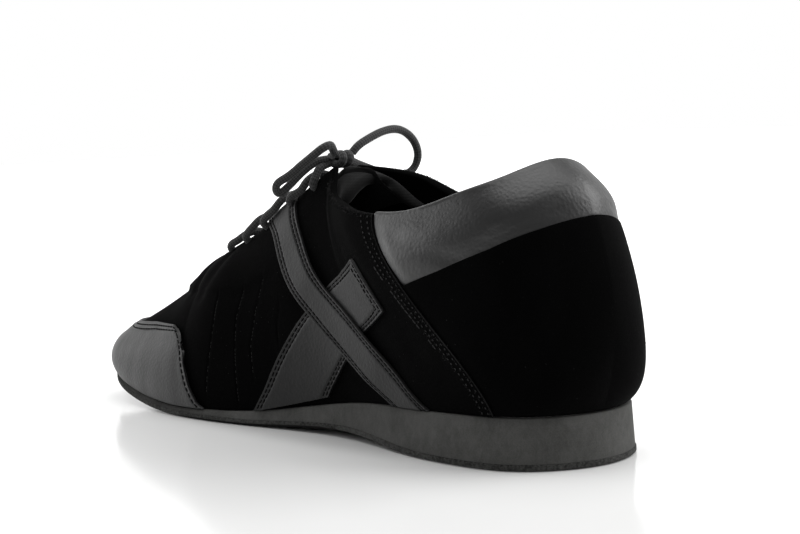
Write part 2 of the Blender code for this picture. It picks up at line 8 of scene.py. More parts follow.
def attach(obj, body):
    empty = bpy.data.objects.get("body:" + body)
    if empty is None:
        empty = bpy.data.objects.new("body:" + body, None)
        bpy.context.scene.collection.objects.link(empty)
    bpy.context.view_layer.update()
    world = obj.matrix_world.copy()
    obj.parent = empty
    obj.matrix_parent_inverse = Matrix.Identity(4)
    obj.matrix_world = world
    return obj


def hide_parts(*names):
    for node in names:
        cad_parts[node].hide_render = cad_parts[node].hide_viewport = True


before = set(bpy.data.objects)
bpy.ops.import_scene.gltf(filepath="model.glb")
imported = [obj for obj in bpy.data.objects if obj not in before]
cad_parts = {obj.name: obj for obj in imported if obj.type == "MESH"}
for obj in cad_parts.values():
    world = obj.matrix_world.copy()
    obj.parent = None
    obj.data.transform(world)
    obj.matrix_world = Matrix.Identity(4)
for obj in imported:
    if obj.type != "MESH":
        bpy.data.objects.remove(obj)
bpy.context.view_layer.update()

mm = 0.001
inner, outer = 1.0, -1.0
print("frame loaded:", len(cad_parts), "nodes")


def rows(columns, *lines):
    return dict(zip(columns.split(), np.array(lines, float).T))


# The last, in millimetres: x from heel to toe, y to the inner side, z up.
# "along" runs from the toe tip (0) to the back of the heel (1), "up" from the sole's edge to the top line.
last = {
    "originX": 141.55,
    "originY": -4.66,
    "length": 288.0,
    "gap": 0.3,
    "outsoleThick": 2.4,
    "archLift": 2.3,
    "archX": 112.0,
    "archSpan": 115.0,
    "toeSpring": 12.5,
    "springX": 204.0,
    "springPower": 1.8,
    "wedgeBottomInset": 0.4,
    "featherInset": 0.9,
    "wall": 2.6,
    "collarPad": 2.4,
    "recess": 1.6,
    "throat": 0.31,
    "corner": 0.69,
    "seam": 0.873,
    "wallLong": 330.0,
    "wallTall": 95.0,
    "cornerShift": 0.02,
    "cornerReach": 0.11,
    "cornerSoft": 0.06,
}
soleOutline = rows(
    "x inner outer",
    (0.0, 0.0, 0.0),
    (3.5, 14.9, 14.9),
    (14.5, 28.3, 28.3),
    (37.5, 34.8, 34.8),
    (63.0, 34.4, 35.2),
    (112.0, 28.2, 40.0),
    (158.0, 36.0, 47.0),
    (196.0, 42.6, 52.6),
    (236.0, 41.0, 43.5),
    (268.0, 33.2, 21.0),
    (283.5, 21.0, 6.0),
    (288.0, 8.3, -8.3),
)
seatHeight = rows(
    "x z",
    (0.0, 18.0),
    (40.0, 17.5),
    (72.0, 16.2),
    (95.0, 14.8),
    (113.0, 12.7),
    (135.0, 9.4),
    (158.0, 6.1),
    (182.0, 4.5),
    (205.0, 4.1),
    (288.0, 3.9),
)
wedgeInset = rows("x top", (0.0, 1.0), (60.0, 1.8), (112.0, 1.6), (200.0, 1.2), (288.0, 0.9))
ridge = rows("x y", (0.0, 0.0), (118.0, 5.0), (160.0, 5.2), (200.0, 6.2), (247.0, 7.0), (288.0, 8.3))
topLine = rows(
    "along x off z",
    (0.000, 247.0, 0.0, 41.0),
    (0.100, 236.0, 0.0, 47.0),
    (0.200, 224.0, 0.0, 54.4),
    (0.310, 211.0, 0.0, 64.0),
    (0.340, 203.0, 4.5, 66.8),
    (0.420, 184.0, 7.5, 73.5),
    (0.470, 172.0, 7.5, 79.5),
    (0.530, 160.0, 7.2, 86.0),
    (0.610, 145.0, 6.8, 94.2),
    (0.690, 131.0, 6.0, 101.4),
    (0.735, 121.0, 12.5, 100.0),
    (0.790, 108.0, 22.0, 96.0),
    (0.858, 87.0, 28.5, 87.3),
    (0.905, 59.5, 30.0, 87.2),
    (0.945, 36.0, 27.0, 93.7),
    (0.975, 22.9, 18.0, 99.0),
    (1.000, 17.5, 0.0, 103.6),
)
# On the inner side the collar is scooped out behind the throat's corner.
innerScoop = rows(
    "along down out",
    (0.690, 0.0, 0.0),
    (0.702, 4.2, 1.6),
    (0.718, 6.9, 2.9),
    (0.735, 8.6, 2.5),
    (0.750, 8.8, 1.9),
    (0.775, 8.0, 0.8),
    (0.803, 5.7, 0.0),
    (0.832, 2.9, 0.0),
    (0.860, 0.8, 0.0),
    (0.900, 0.0, 0.0),
    (1.000, 0.0, 0.0),
)
sections = rows(
    "along swell lift reach dip",
    (0.00, 8.0, 12.0, 22.0, 0.0),
    (0.10, 11.0, 10.0, 19.0, 0.0),
    (0.20, 7.5, 15.0, 18.5, 0.0),
    (0.31, 5.0, 19.0, 24.0, 8.0),
    (0.42, 3.5, 22.0, 22.0, 30.0),
    (0.52, 3.0, 24.0, 23.0, 44.0),
    (0.69, 4.0, 24.0, 24.0, 60.0),
    (0.79, 5.5, 22.0, 20.0, 72.0),
    (0.86, 10.0, 21.0, 20.0, 70.0),
    (0.94, 18.2, 13.2, 23.4, 51.5),
    (1.00, 12.4, 18.2, 33.1, 33.6),
)


def hermite(t, start, leave, end, arrive):
    # from start to end as t goes from 0 to 1, with the slopes at both
    return (
        start * (1 + 2 * t) * (1 - t) ** 2
        + leave * t * (1 - t) ** 2
        + end * t * t * (3 - 2 * t)
        + arrive * t * t * (t - 1)
    )


def curve(knots, values, at, start=None, end=None):
    # smooth cubic through the values; its end slopes are natural or given
    knots, values = np.asarray(knots, float), np.asarray(values, float)
    step = np.diff(knots)
    rise = np.diff(values) / step
    count = len(knots)
    left, right = np.zeros((count, count)), np.zeros(count)
    for i in range(1, count - 1):
        left[i, i - 1 : i + 2] = 1 / step[i - 1], 2 / step[i - 1] + 2 / step[i], 1 / step[i]
        right[i] = 3 * (rise[i - 1] / step[i - 1] + rise[i] / step[i])
    for i, slope, near in ((0, start, 1), (count - 1, end, count - 2)):
        left[i, i] = 1 if slope is not None else 2
        left[i, near] = 0 if slope is not None else 1
        right[i] = slope if slope is not None else 3 * rise[min(i, near)]
    slopes = np.linalg.solve(left, right)
    at = np.asarray(at, float)
    k = np.clip(np.searchsorted(knots, at) - 1, 0, count - 2)
    t = (at - knots[k]) / step[k]
    return hermite(t, values[k], slopes[k] * step[k], values[k + 1], slopes[k + 1] * step[k])


def read(table, name, at, key="x"):
    return curve(table[key], table[name], at)


def ease(t):
    t = np.clip(t, 0, 1)
    return t * t * (3 - 2 * t)


def rising(value, start, width):
    # 0 up to start, 1 from width beyond it
    return ease((value - start) / width)


def falling(value, end, width):
    # 1 up to width before the end, 0 from the end on
    return ease((end - value) / width)


def unit(vectors):
    return vectors / np.maximum(np.linalg.norm(vectors, axis=0), 1e-9)


def runLength(path):
    # distance from the start at each of (3, n) points
    return np.concatenate([[0], np.cumsum(np.linalg.norm(np.diff(path, axis=1), axis=0))])


def onPath(path, total, at):
    return np.array([np.interp(at, total, axis) for axis in path])


def fromEnd(points):
    # distance of each point of a (3, columns, rows) grid from the grid's last row
    steps = np.linalg.norm(np.diff(points, axis=2), axis=0)
    return np.flip(np.cumsum(np.flip(np.pad(steps, ((0, 0), (0, 1))), 1), axis=1), 1)


def spans(*pieces):
    # places from (low, high, count) stretches, the last end included
    found = [np.linspace(low, high, count, endpoint=False) for low, high, count in pieces]
    return np.append(np.concatenate(found), pieces[-1][1])


def floorLine(x):
    arch = np.cos(np.pi * np.clip((x - last["archX"]) / last["archSpan"], -0.5, 0.5)) ** 2
    return last["archLift"] * arch + springLift(x)


def springLift(x):
    share = np.clip((x - last["springX"]) / (last["length"] - last["springX"]), 0, None)
    return last["toeSpring"] * share ** last["springPower"]


def seatLine(x):
    return read(seatHeight, "z", x) + springLift(x)


def soleEdge(side, along):
    # points and outward normals of the sole's outline
    x, y = soleOutline["x"], side * soleOutline["inner" if side > 0 else "outer"]
    points = np.array([x, y])[:, ::-1]
    chord = np.concatenate([[0], np.cumsum(np.hypot(*np.diff(points, axis=1)))])
    place = np.asarray(along, float) * chord[-1]

    def position(p):
        return np.array([curve(chord, points[0], p, 0.0, 0.0), curve(chord, points[1], p, side, -side)])

    small = 0.05
    run = position(place + small) - position(place - small)
    run /= np.hypot(*run)
    return position(place), np.array([side * run[1], -side * run[0]])


def topEdge(side, along):
    # the vamp's ridge, the throat's edge and the collar, as three joined curves
    place = np.asarray(along, float)
    found = np.zeros((3, len(place)))
    for low, high in ((0.0, last["throat"]), (last["throat"], last["corner"]), (last["corner"], 1.0)):
        inside = (place >= low) & (place <= high)
        use = (topLine["along"] >= low) & (topLine["along"] <= high)
        flatEnd = 0.0 if high == 1.0 else None
        knots = topLine["along"][use]
        x = curve(knots, topLine["x"][use], place[inside], None, flatEnd)
        off = curve(knots, topLine["off"][use], place[inside])
        z = curve(knots, topLine["z"][use], place[inside], None, flatEnd)
        if side > 0 and low == last["corner"]:
            off = off + read(innerScoop, "out", place[inside], "along")
            z = z - read(innerScoop, "down", place[inside], "along")
        found[:, inside] = x, read(ridge, "y", x) + side * off, z
    return found


def wallPoint(side, along, up):
    # the upper's outer face
    along, up = np.broadcast_arrays(np.asarray(along, float), np.asarray(up, float))
    shape, along, up = along.shape, along.ravel(), up.ravel()
    line, normal = soleEdge(side, along)
    foot = line - (read(wedgeInset, "top", line[0]) + last["featherInset"]) * normal
    foot = np.array([foot[0], foot[1], seatLine(line[0]) + last["gap"]])
    out = np.array([normal[0], normal[1], np.zeros_like(along)])
    top = topEdge(side, along)
    step = 0.004
    near = np.clip(along, step, last["throat"] - step)
    lean = topEdge(side, near + step) - topEdge(side, near - step)
    slope = np.where(along < last["throat"], lean[2] / lean[0], 0.0)
    row = {name: read(sections, name, along, "along") for name in sections}
    dip = np.radians(row["dip"])
    low = foot + row["swell"] * out
    low[2] += row["lift"]
    ways = np.linspace(-last["cornerSoft"], last["cornerSoft"], 9)
    soft = sum(topEdge(side, np.clip(along + way, last["throat"], 1.0)) for way in ways) / len(ways)
    fromCorner = np.abs(along - last["corner"] - last["cornerShift"])
    share = falling(fromCorner, last["cornerReach"], last["cornerSoft"])
    high = top + share * (soft - top) + row["reach"] * np.cos(dip) * out
    high[2] += row["reach"] * (normal[0] * slope * np.cos(dip) - np.sin(dip))
    a, b = 1 - up, up
    point = a**3 * foot + 3 * a * a * b * low + 3 * a * b * b * high + b**3 * top
    return point.reshape((3,) + shape)


def wallNormal(side, along, up):
    small = 0.003
    along = np.where(up > 0.96, np.maximum(along, 0.05), along)
    up = np.minimum(up, 1 - small)
    lowS, highS = np.clip(along - small, 0, 1), np.clip(along + small, 0, 1)
    lowU, highU = np.clip(up - small, 0, 1), np.clip(up + small, 0, 1)
    run = wallPoint(side, highS, up) - wallPoint(side, lowS, up)
    rise = wallPoint(side, along, highU) - wallPoint(side, along, lowU)
    return unit(side * np.cross(run, rise, axis=0))


def offWall(side, along, up, offset):
    # a point off the upper's face, never under the edge on which the upper stands
    point = wallPoint(side, along, up) + offset * wallNormal(side, along, up)
    foot = wallPoint(side, along, np.zeros_like(up))[2]
    point[2] = np.maximum(point[2], foot)
    return point


def wallHeight(side, along):
    # length of the wall from sole to top line at each place
    steps = wallPoint(side, np.asarray(along)[:, None], np.linspace(0, 1, 33)[None, :])
    return np.linalg.norm(np.diff(steps, axis=2), axis=0).sum(axis=1)


def placeOn(side, x, z):
    # the (along, up) place of a side-view point on the wall
    guess = np.linspace(0.02, 0.99, 200)
    line, _ = soleEdge(side, guess)
    along = np.interp(-x, -line[0], guess)
    up = np.clip((z - seatLine(x)) / 80.0, 0.02, 0.95)
    small = 0.002
    for _ in range(14):
        here = wallPoint(side, along, up)
        ahead = (wallPoint(side, np.minimum(along + small, 1.0), up) - here) / small
        above = (wallPoint(side, along, up + small) - here) / small
        errorX, errorZ = x - here[0], z - here[2]
        spread = ahead[0] * above[2] - above[0] * ahead[2]
        along = np.clip(along + 0.8 * (errorX * above[2] - errorZ * above[0]) / spread, 0.01, 0.985)
        up = np.clip(up + 0.8 * (ahead[0] * errorZ - ahead[2] * errorX) / spread, -0.2, 1.15)
    return along, up


def roofPoint(along, across, offset, reach):
    # over the instep from the outer facing (-1) across the throat (0) to the inner facing (1)
    along, across, offset = np.broadcast_arrays(*(np.asarray(v, float) for v in (along, across, offset)))
    up = 1 - reach * np.clip(np.abs(across) - 0.5, 0, None) * 2
    found = []
    for side in (inner, outer):
        onWall = offWall(side, along, up, offset)
        rim = offWall(side, along, np.ones_like(along), offset)
        below = offWall(side, along, np.full_like(along, 0.97), offset)
        found.append((onWall, rim, rim - below))
    (innerWall, innerRim, innerRun), (outerWall, outerRim, outerRun) = found
    width = np.linalg.norm(innerRim - outerRim, axis=0) * 0.8
    innerRun, outerRun = unit(innerRun) * width, unit(outerRun) * width
    t = np.clip(across + 0.5, 0, 1)
    bridge = hermite(t, outerRim, outerRun, innerRim, -innerRun)
    return np.where(across > 0.5, innerWall, np.where(across < -0.5, outerWall, bridge))


# Modelling helpers

def toFrame(points):
    return (np.asarray(points, float) - (last["originX"], last["originY"], 0.0)) * mm


def fromFrame(point):
    return np.asarray(point, float) / mm + (last["originX"], last["originY"], 0.0)


def layGrid(name, points):
    # a grid primitive laid over an array of (3, columns, rows) points
    columns, lines = points.shape[1:]
    bpy.ops.object.select_all(action="DESELECT")
    bpy.ops.mesh.primitive_grid_add(x_subdivisions=columns - 1, y_subdivisions=lines - 1, size=1)
    piece = bpy.context.object
    piece.name = piece.data.name = name
    piece.data.vertices.foreach_set("co", toFrame(points.transpose(2, 1, 0).reshape(-1, 3)).ravel())
    piece.data.update()
    return piece


def setUv(piece, u, v):
    # u and v by (column, row) of the grid that the piece was laid from
    perVertex = np.stack([u, v], axis=-1).transpose(1, 0, 2).reshape(-1, 2)
    corner = np.zeros(len(piece.data.loops), int)
    piece.data.loops.foreach_get("vertex_index", corner)
    piece.data.uv_layers.active.data.foreach_set("uv", perVertex[corner].ravel())


def activate(*pieces):
    bpy.ops.object.select_all(action="DESELECT")
    for piece in pieces:
        piece.select_set(True)
    bpy.context.view_layer.objects.active = pieces[0]


def deleteFaces(piece, mask):
    activate(piece)
    bpy.ops.object.mode_set(mode="EDIT")
    bpy.ops.mesh.select_mode(type="FACE")
    bpy.ops.mesh.select_all(action="DESELECT")
    bpy.ops.object.mode_set(mode="OBJECT")
    piece.data.polygons.foreach_set("select", mask.ravel())
    bpy.ops.object.mode_set(mode="EDIT")
    bpy.ops.mesh.delete(type="FACE")
    bpy.ops.object.mode_set(mode="OBJECT")


def closeUp(*pieces, fill=False, merge=0.02 * mm):
    # joins pieces whose edges meet into one shell, faces outwards
    activate(*pieces)
    if len(pieces) > 1:
        bpy.ops.object.join()
    piece = pieces[0]
    bpy.ops.object.mode_set(mode="EDIT")
    bpy.ops.mesh.select_mode(type="VERT")
    bpy.ops.mesh.select_all(action="SELECT")
    bpy.ops.mesh.remove_doubles(threshold=merge)
    bpy.ops.mesh.dissolve_degenerate(threshold=1e-7)
    if fill:
        bpy.ops.mesh.fill_holes(sides=0)
        bpy.ops.mesh.select_all(action="SELECT")
    bpy.ops.mesh.normals_make_consistent(inside=False)
    bpy.ops.object.mode_set(mode="OBJECT")
    return piece


def modify(piece, kind, **settings):
    activate(piece)
    change = piece.modifiers.new(kind.lower(), kind)
    for key, value in settings.items():
        setattr(change, key, value)
    bpy.ops.object.modifier_apply(modifier=change.name)


def thicken(piece, thick, edge, *finishes):
    # gives a laid sheet its leather's thickness, inwards, with softened cut edges in the last finish
    for finish in finishes:
        piece.data.materials.append(finish)
    rim = max(len(finishes) - 1, 0)
    deep = thick * mm
    modify(piece, "SOLIDIFY", thickness=deep, offset=-1.0, use_even_offset=False, material_offset_rim=rim)
    modify(piece, "BEVEL", width=edge * mm, segments=2, limit_method="ANGLE", angle_limit=math.radians(50))


def smooth(piece, angle=40):
    activate(piece)
    bpy.ops.object.shade_smooth_by_angle(angle=math.radians(angle))


def dress(piece, slot, finishes, *nodes):
    for finish in finishes[len(piece.data.materials) :]:
        piece.data.materials.append(finish)
    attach(piece, "root")
    if nodes:
        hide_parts(*nodes)
    return piece


# Shader helpers

class Wire:
    # a socket that can be used in sums
    def __init__(self, paint, socket):
        self.paint, self.socket = paint, socket

    def maths(self, operation, *others):
        return self.paint.node("ShaderNodeMath", {"operation": operation}, [self, *others])

    def __add__(self, other):
        return self.maths("ADD", other)

    def __mul__(self, other):
        return self.maths("MULTIPLY", other)

    def __sub__(self, other):
        return self.maths("SUBTRACT", other)

    __radd__, __rmul__ = __add__, __mul__

    def sine(self):
        return self.maths("SINE")

    def size(self):
        return self.maths("ABSOLUTE")

    def between(self, low, high):
        # 0 below low, 1 above high, smooth in between
        return self.paint.node(
            "ShaderNodeMapRange",
            {"interpolation_type": "SMOOTHSTEP"},
            {"Value": self, "From Min": low, "From Max": high},
        )


class Paint:
    # one material and the nodes that make it
    def __init__(self, name, **fixed):
        self.material = bpy.data.materials.new(name)
        self.material.use_nodes = True
        self.tree = self.material.node_tree
        self.shader = self.tree.nodes["Principled BSDF"]
        for key, value in fixed.items():
            self.shader.inputs[key].default_value = value
        self.place = self.node("ShaderNodeTexCoord", out="Object")

    def node(self, kind, settings=None, values=None, out=0):
        made = self.tree.nodes.new(kind)
        for key, value in (settings or {}).items():
            setattr(made, key, value)
        for key, value in values.items() if isinstance(values, dict) else enumerate(values or []):
            self.connect(value, made.inputs[key])
        return Wire(self, made.outputs[out])

    def connect(self, value, socket):
        if isinstance(value, Wire):
            self.tree.links.new(value.socket, socket)
        else:
            socket.default_value = value

    def set(self, **values):
        for key, value in values.items():
            self.connect(value, self.shader.inputs[key.replace("_", " ")])

    def vector(self, operation, *values):
        return self.node("ShaderNodeVectorMath", {"operation": operation}, values, out="Value")

    def stretched(self, x, y, z):
        return self.node("ShaderNodeMapping", {}, {"Vector": self.place, "Scale": (x, y, z)})

    def noise(self, scale, detail=2.0, rough=0.5, place=None):
        return self.node(
            "ShaderNodeTexNoise",
            {},
            {"Vector": place or self.place, "Scale": scale, "Detail": detail, "Roughness": rough},
        )

    def cells(self, scale, feature="F1", place=None):
        return self.node(
            "ShaderNodeTexVoronoi", {"feature": feature}, {"Vector": place or self.place, "Scale": scale}
        )

    def colour(self, share, low, high):
        low, high = (end if isinstance(end, Wire) else (*end, 1.0) for end in (low, high))
        values = {"Factor": share, 6: low, 7: high}
        return self.node("ShaderNodeMix", {"data_type": "RGBA"}, values, out=2)

    def bump(self, height, distance, strength=1.0, under=None):
        values = {"Height": height, "Distance": distance * mm, "Strength": strength}
        if under:
            values["Normal"] = under
        return self.node("ShaderNodeBump", {}, values)


def makeSuede(name, dark, light, sheen):
    paint = Paint(name, **{"Sheen Weight": sheen, "Sheen Roughness": 0.4, "Specular IOR Level": 0.03})
    nap = paint.noise(1500, 4.0, 0.65)
    brushed = paint.noise(42, 3.0, 0.6, paint.stretched(1.0, 1.0, 0.45))
    flecks = paint.noise(760, 2.0, 0.6).between(0.72, 0.80)
    tone = nap * 0.55 + brushed.between(0.35, 0.7) * 0.45
    base = paint.colour(tone, dark, light)
    paint.set(Base_Color=paint.colour(flecks, base, [6 * shade for shade in light]))
    paint.set(Roughness=0.86 + nap * 0.12)
    coarse = paint.bump(brushed, 0.25, 0.35)
    paint.set(Normal=paint.bump(nap, 0.22, 0.7, coarse))
    return paint.material


def makeLeather(name, dark, light, rough, gloss, grain, fold):
    paint = Paint(name, **{"Specular IOR Level": gloss})
    pores = paint.cells(grain, "SMOOTH_F1")
    fine = paint.noise(grain * 1.6, 3.0, 0.55)
    cloud = paint.noise(28, 3.0, 0.55)
    wrinkle = paint.noise(130, 2.0, 0.5, paint.stretched(1.0, 1.0, 1.8))
    tone = cloud.between(0.3, 0.7) * 0.7 + fine * 0.3
    paint.set(Base_Color=paint.colour(tone, dark, light), Roughness=rough + cloud * 0.1 + fine * 0.06)
    folds = paint.bump(paint.noise(45, 1.5, 0.5, paint.stretched(1.0, 1.0, 0.2)), fold, 0.7)
    soft = paint.bump(wrinkle, 0.22, 0.5, folds)
    paint.set(Normal=paint.bump(pores * 0.7 + fine * 0.3, 0.2, 0.7, soft))
    return paint.material


def makeFoam(name):
    paint = Paint(name, **{"Specular IOR Level": 0.25})
    grain = paint.noise(1900, 4.0, 0.75)
    sanded = paint.noise(420, 3.0, 0.65, paint.stretched(1.0, 1.0, 0.6))
    cloud = paint.noise(70, 4.0, 0.62)
    tone = (grain * 0.4 + sanded * 0.25 + cloud * 0.45).between(0.3, 0.8)
    split = paint.node("ShaderNodeSeparateXYZ", {}, [paint.place])
    # a darker copy of the foam's tones for the front of the wedge: painted shade on the forefoot's side
    # wall
    shadeAndWear = paint.colour(tone, (0.012, 0.012, 0.0115), (0.06, 0.06, 0.057))
    plain = paint.colour(tone, (0.04, 0.04, 0.038), (0.092, 0.092, 0.088))
    paint.set(Base_Color=paint.colour(split.between(0.02, 0.07), plain, shadeAndWear))
    paint.set(Roughness=0.8 + grain * 0.15)
    paint.set(Normal=paint.bump(grain * 0.6 + sanded * 0.4, 0.18, 0.6))
    return paint.material


def makeOutsole(name, dark, light):
    paint = Paint(name, **{"Specular IOR Level": 0.2})
    grain = paint.noise(900, 3.0, 0.65)
    # broad random patches of wear in the rubber's tone
    shadeAndWear = paint.noise(24, 4.0, 0.6)
    tone = (grain * 0.6 + shadeAndWear * 0.4).between(0.35, 0.65)
    paint.set(Base_Color=paint.colour(tone, dark, light))
    paint.set(Roughness=0.82 + grain * 0.14, Normal=paint.bump(grain, 0.3, 0.8))
    return paint.material


def makeCloth(name, dark, light, pitch):
    paint = Paint(name, **{"Specular IOR Level": 0.2, "Sheen Weight": 0.08})
    split = paint.node("ShaderNodeSeparateXYZ", {}, [paint.place])
    height = Wire(paint, split.socket.node.outputs["Z"])
    length = Wire(paint, split.socket.node.outputs["X"])
    turn = math.pi / (pitch * mm)
    weave = (length * turn).sine().size() * 0.5 + (height * turn).sine().size() * 0.5
    fuzz = paint.noise(800, 3.0, 0.6)
    paint.set(Base_Color=paint.colour(weave * 0.5 + fuzz * 0.5, dark, light), Roughness=0.8 + fuzz * 0.15)
    paint.set(Normal=paint.bump(weave * 0.7 + fuzz * 0.3, 0.15, 0.6))
    return paint.material


def makeBraid(name):
    # the lace's own map: u along in braid lengths, v around in turns
    paint = Paint(name, **{"Specular IOR Level": 0.3, "Sheen Weight": 0.12})
    place = paint.node("ShaderNodeTexCoord", out="UV")
    split = paint.node("ShaderNodeSeparateXYZ", {}, [place])
    along, around = split, Wire(paint, split.socket.node.outputs["Y"])
    turn = 2 * math.pi
    one = (along * turn + around * (6 * turn)).sine()
    two = (along * turn - around * (6 * turn)).sine()
    plait = (one * two).between(-0.8, 0.8)
    fibre = paint.noise(1800, 2.0, 0.6)
    tone = plait * 0.7 + fibre * 0.3
    paint.set(Base_Color=paint.colour(tone, (0.008, 0.008, 0.008), (0.05, 0.05, 0.051)))
    paint.set(Roughness=0.65 + fibre * 0.2, Normal=paint.bump(plait * 0.6 + fibre * 0.4, 0.3, 0.7))
    return paint.material


def makeThread(name, dark, light, shine):
    paint = Paint(name, **{"Specular IOR Level": shine})
    twist = paint.noise(2200, 2.0, 0.5)
    paint.set(Base_Color=paint.colour(twist, dark, light), Roughness=0.55 + twist * 0.2)
    paint.set(Normal=paint.bump(twist, 0.1, 0.6))
    return paint.material


suede = makeSuede("black_suede", (0.0002, 0.0002, 0.0002), (0.0014, 0.0014, 0.0015), 0.006)
cutSuede = makeSuede("suede_cut_edge", (0.004, 0.004, 0.004), (0.03, 0.03, 0.03), 0.03)
toeLeather = makeLeather(
    "toe_leather", (0.005, 0.005, 0.0051), (0.0105, 0.0105, 0.0107), 0.37, 0.36, 900, 2.4
)
strapLeather = makeLeather(
    "strap_leather", (0.004, 0.004, 0.0041), (0.0085, 0.0085, 0.0087), 0.42, 0.26, 900, 0.9
)
collarLeather = makeLeather(
    "collar_leather", (0.004, 0.004, 0.0041), (0.009, 0.009, 0.0092), 0.34, 0.62, 850, 0.7
)
foam = makeFoam("grey_foam")
rubber = makeOutsole("dark_outsole", (0.012, 0.012, 0.0115), (0.066, 0.066, 0.063))
# near-black rubber for the outsole's bottom and lower edge: a painted contact shadow
shadowRubber = makeOutsole("outsole_painted_shadow", (0.001, 0.001, 0.001), (0.004, 0.004, 0.004))
lining = makeCloth("black_lining", (0.0002, 0.0002, 0.0002), (0.0012, 0.0012, 0.0012), 0.9)
tongueCloth = makeCloth("tongue_cloth", (0.0003, 0.0003, 0.0003), (0.0026, 0.0026, 0.0027), 1.1)
braid = makeBraid("black_braid")
thread = makeThread("black_thread", (0.0006, 0.0006, 0.0006), (0.005, 0.005, 0.005), 0.06)
tuckThread = makeThread("tuck_thread", (0.001, 0.001, 0.001), (0.011, 0.011, 0.011), 0.2)
suedeThread = makeThread("suede_thread", (0.002, 0.002, 0.002), (0.022, 0.022, 0.022), 0.45)
print("finishes made")


# Stitches: short threads in joined meshes

stitch = {"length": 2.1, "gap": 0.55, "radius": 0.36, "lift": 0.04, "feel": 0.4}
stitchRows = {}
fuzz = {"perMm": 2.6, "length": (0.5, 1.5), "spread": 0.35, "lint": 110, "seed": 11}
fuzzSource = np.random.default_rng(fuzz["seed"])


def sewRow(group, path, normals, length=stitch["length"], gap=stitch["gap"], kept=1.0):
    # one row of stitches along a path of (3, n) points
    # a negative gap makes a closed line, and kept is the share of the stitches that stay
    total = runLength(path)
    count = int(total[-1] // (length + gap))
    starts = (np.arange(count) + 0.5) * total[-1] / max(count, 1)
    starts = starts[fuzzSource.random(count) < kept]
    out = unit(onPath(normals, total, starts))
    run = unit(onPath(path, total, starts + stitch["feel"]) - onPath(path, total, starts - stitch["feel"]))
    centre = onPath(path, total, starts) + stitch["lift"] * out
    stitchRows.setdefault(group, []).append((centre, run, out, length))


def sewFuzz(group, path, normals, spread=fuzz["spread"], density=1.0):
    # short loose fibres in all directions along a cut edge
    total = runLength(path)
    count = int(total[-1] * fuzz["perMm"] * density)
    at = fuzzSource.uniform(0, total[-1], count)
    centre = onPath(path, total, at)
    out = unit(onPath(normals, total, at))
    run = unit(fuzzSource.normal(size=(3, count)) + 0.6 * out)
    centre = centre + fuzzSource.normal(size=(3, count)) * spread
    side = unit(np.cross(run, fuzzSource.normal(size=(3, count)), axis=0))
    for k in range(3):
        pick = np.arange(k, count, 3)
        long = fuzzSource.uniform(*fuzz["length"])
        stitchRows.setdefault(group, []).append((centre[:, pick], run[:, pick], side[:, pick], long))


def threadTemplate():
    # a small sphere as it is added, made a stitch by the scale of its copies
    bpy.ops.object.select_all(action="DESELECT")
    bpy.ops.mesh.primitive_uv_sphere_add(segments=7, ring_count=5, radius=1.0)
    ball = bpy.context.object
    points = np.array([v.co for v in ball.data.vertices], float)
    faces = [tuple(p.vertices) for p in ball.data.polygons]
    bpy.data.objects.remove(ball)
    swell = np.sign(points[:, 2]) * np.abs(points[:, 2]) ** 0.7
    return np.stack([swell, points[:, 0], points[:, 1]], axis=1), faces


def makeStitches(name, group, slot, finish, radius=stitch["radius"]):
    template, templateFaces = threadTemplate()
    points, faces = [], []
    for centre, run, out, length in stitchRows.get(group, []):
        across = np.cross(run, out, axis=0)
        for k in range(centre.shape[1]):
            axes = np.stack([run[:, k] * length / 2, across[:, k] * radius, out[:, k] * radius])
            start = len(points) * len(template)
            points.append(centre[:, k] + template @ axes)
            faces += [tuple(start + v for v in face) for face in templateFaces]
    mesh = bpy.data.meshes.new(name)
    mesh.from_pydata(toFrame(np.concatenate(points)).tolist(), [], faces)
    mesh.update()
    piece = bpy.data.objects.new(name, mesh)
    bpy.context.scene.collection.objects.link(piece)
    closeUp(piece, merge=1e-7)
    smooth(piece, 180)
    return dress(piece, slot, [finish])


# Sole

sole = {
    "places": 240,
    "across": 15,
    "outsoleRound": 1.5,
    "shadeLow": 0.4,
    "shadeMore": 0.6,
    "shadeFrom": (90.0, 50.0),
    "shadeTo": (225.0, 40.0),
    "shadeStep": 0.25,
    "lip": (0.25, 0.3),
    "wedgeRound": 0.35,
    "wedgeSteps": 6,
    "wedgeFoot": (0.05, 0.25),
    "insoleThick": 3.0,
    "insoleRound": 1.0,
}


def layPlate(name, profile):
    # a plate in loops from toe to heel, with profile rows of (inset, height) from the lower edge up
    along = 0.5 - 0.5 * np.cos(np.linspace(0, np.pi, sole["places"]))
    lines = {}
    for side in (inner, outer):
        line, normal = soleEdge(side, along)
        lines[side] = [
            np.array([*(line - inset(line[0]) * normal), height(line[0])]) for inset, height in profile
        ]
    share = np.linspace(0, 1, sole["across"] + 1)[1:-1]
    under = [lines[outer][0] * (1 - f) + lines[inner][0] * f for f in share]
    over = [lines[inner][-1] * (1 - f) + lines[outer][-1] * f for f in share]
    loop = under + lines[inner] + over + lines[outer][::-1]
    return closeUp(layGrid(name, np.stack(loop + loop[:1], axis=2)))


def wedgeTop(x):
    return read(wedgeInset, "top", x)


def outsoleTop(x):
    return floorLine(x) + last["outsoleThick"]


def underTop(x):
    # how high the painted contact shadow on the lower edge reaches, most under the ball
    more = rising(x, *sole["shadeFrom"]) * falling(x, *sole["shadeTo"])
    return sole["shadeLow"] + sole["shadeMore"] * more


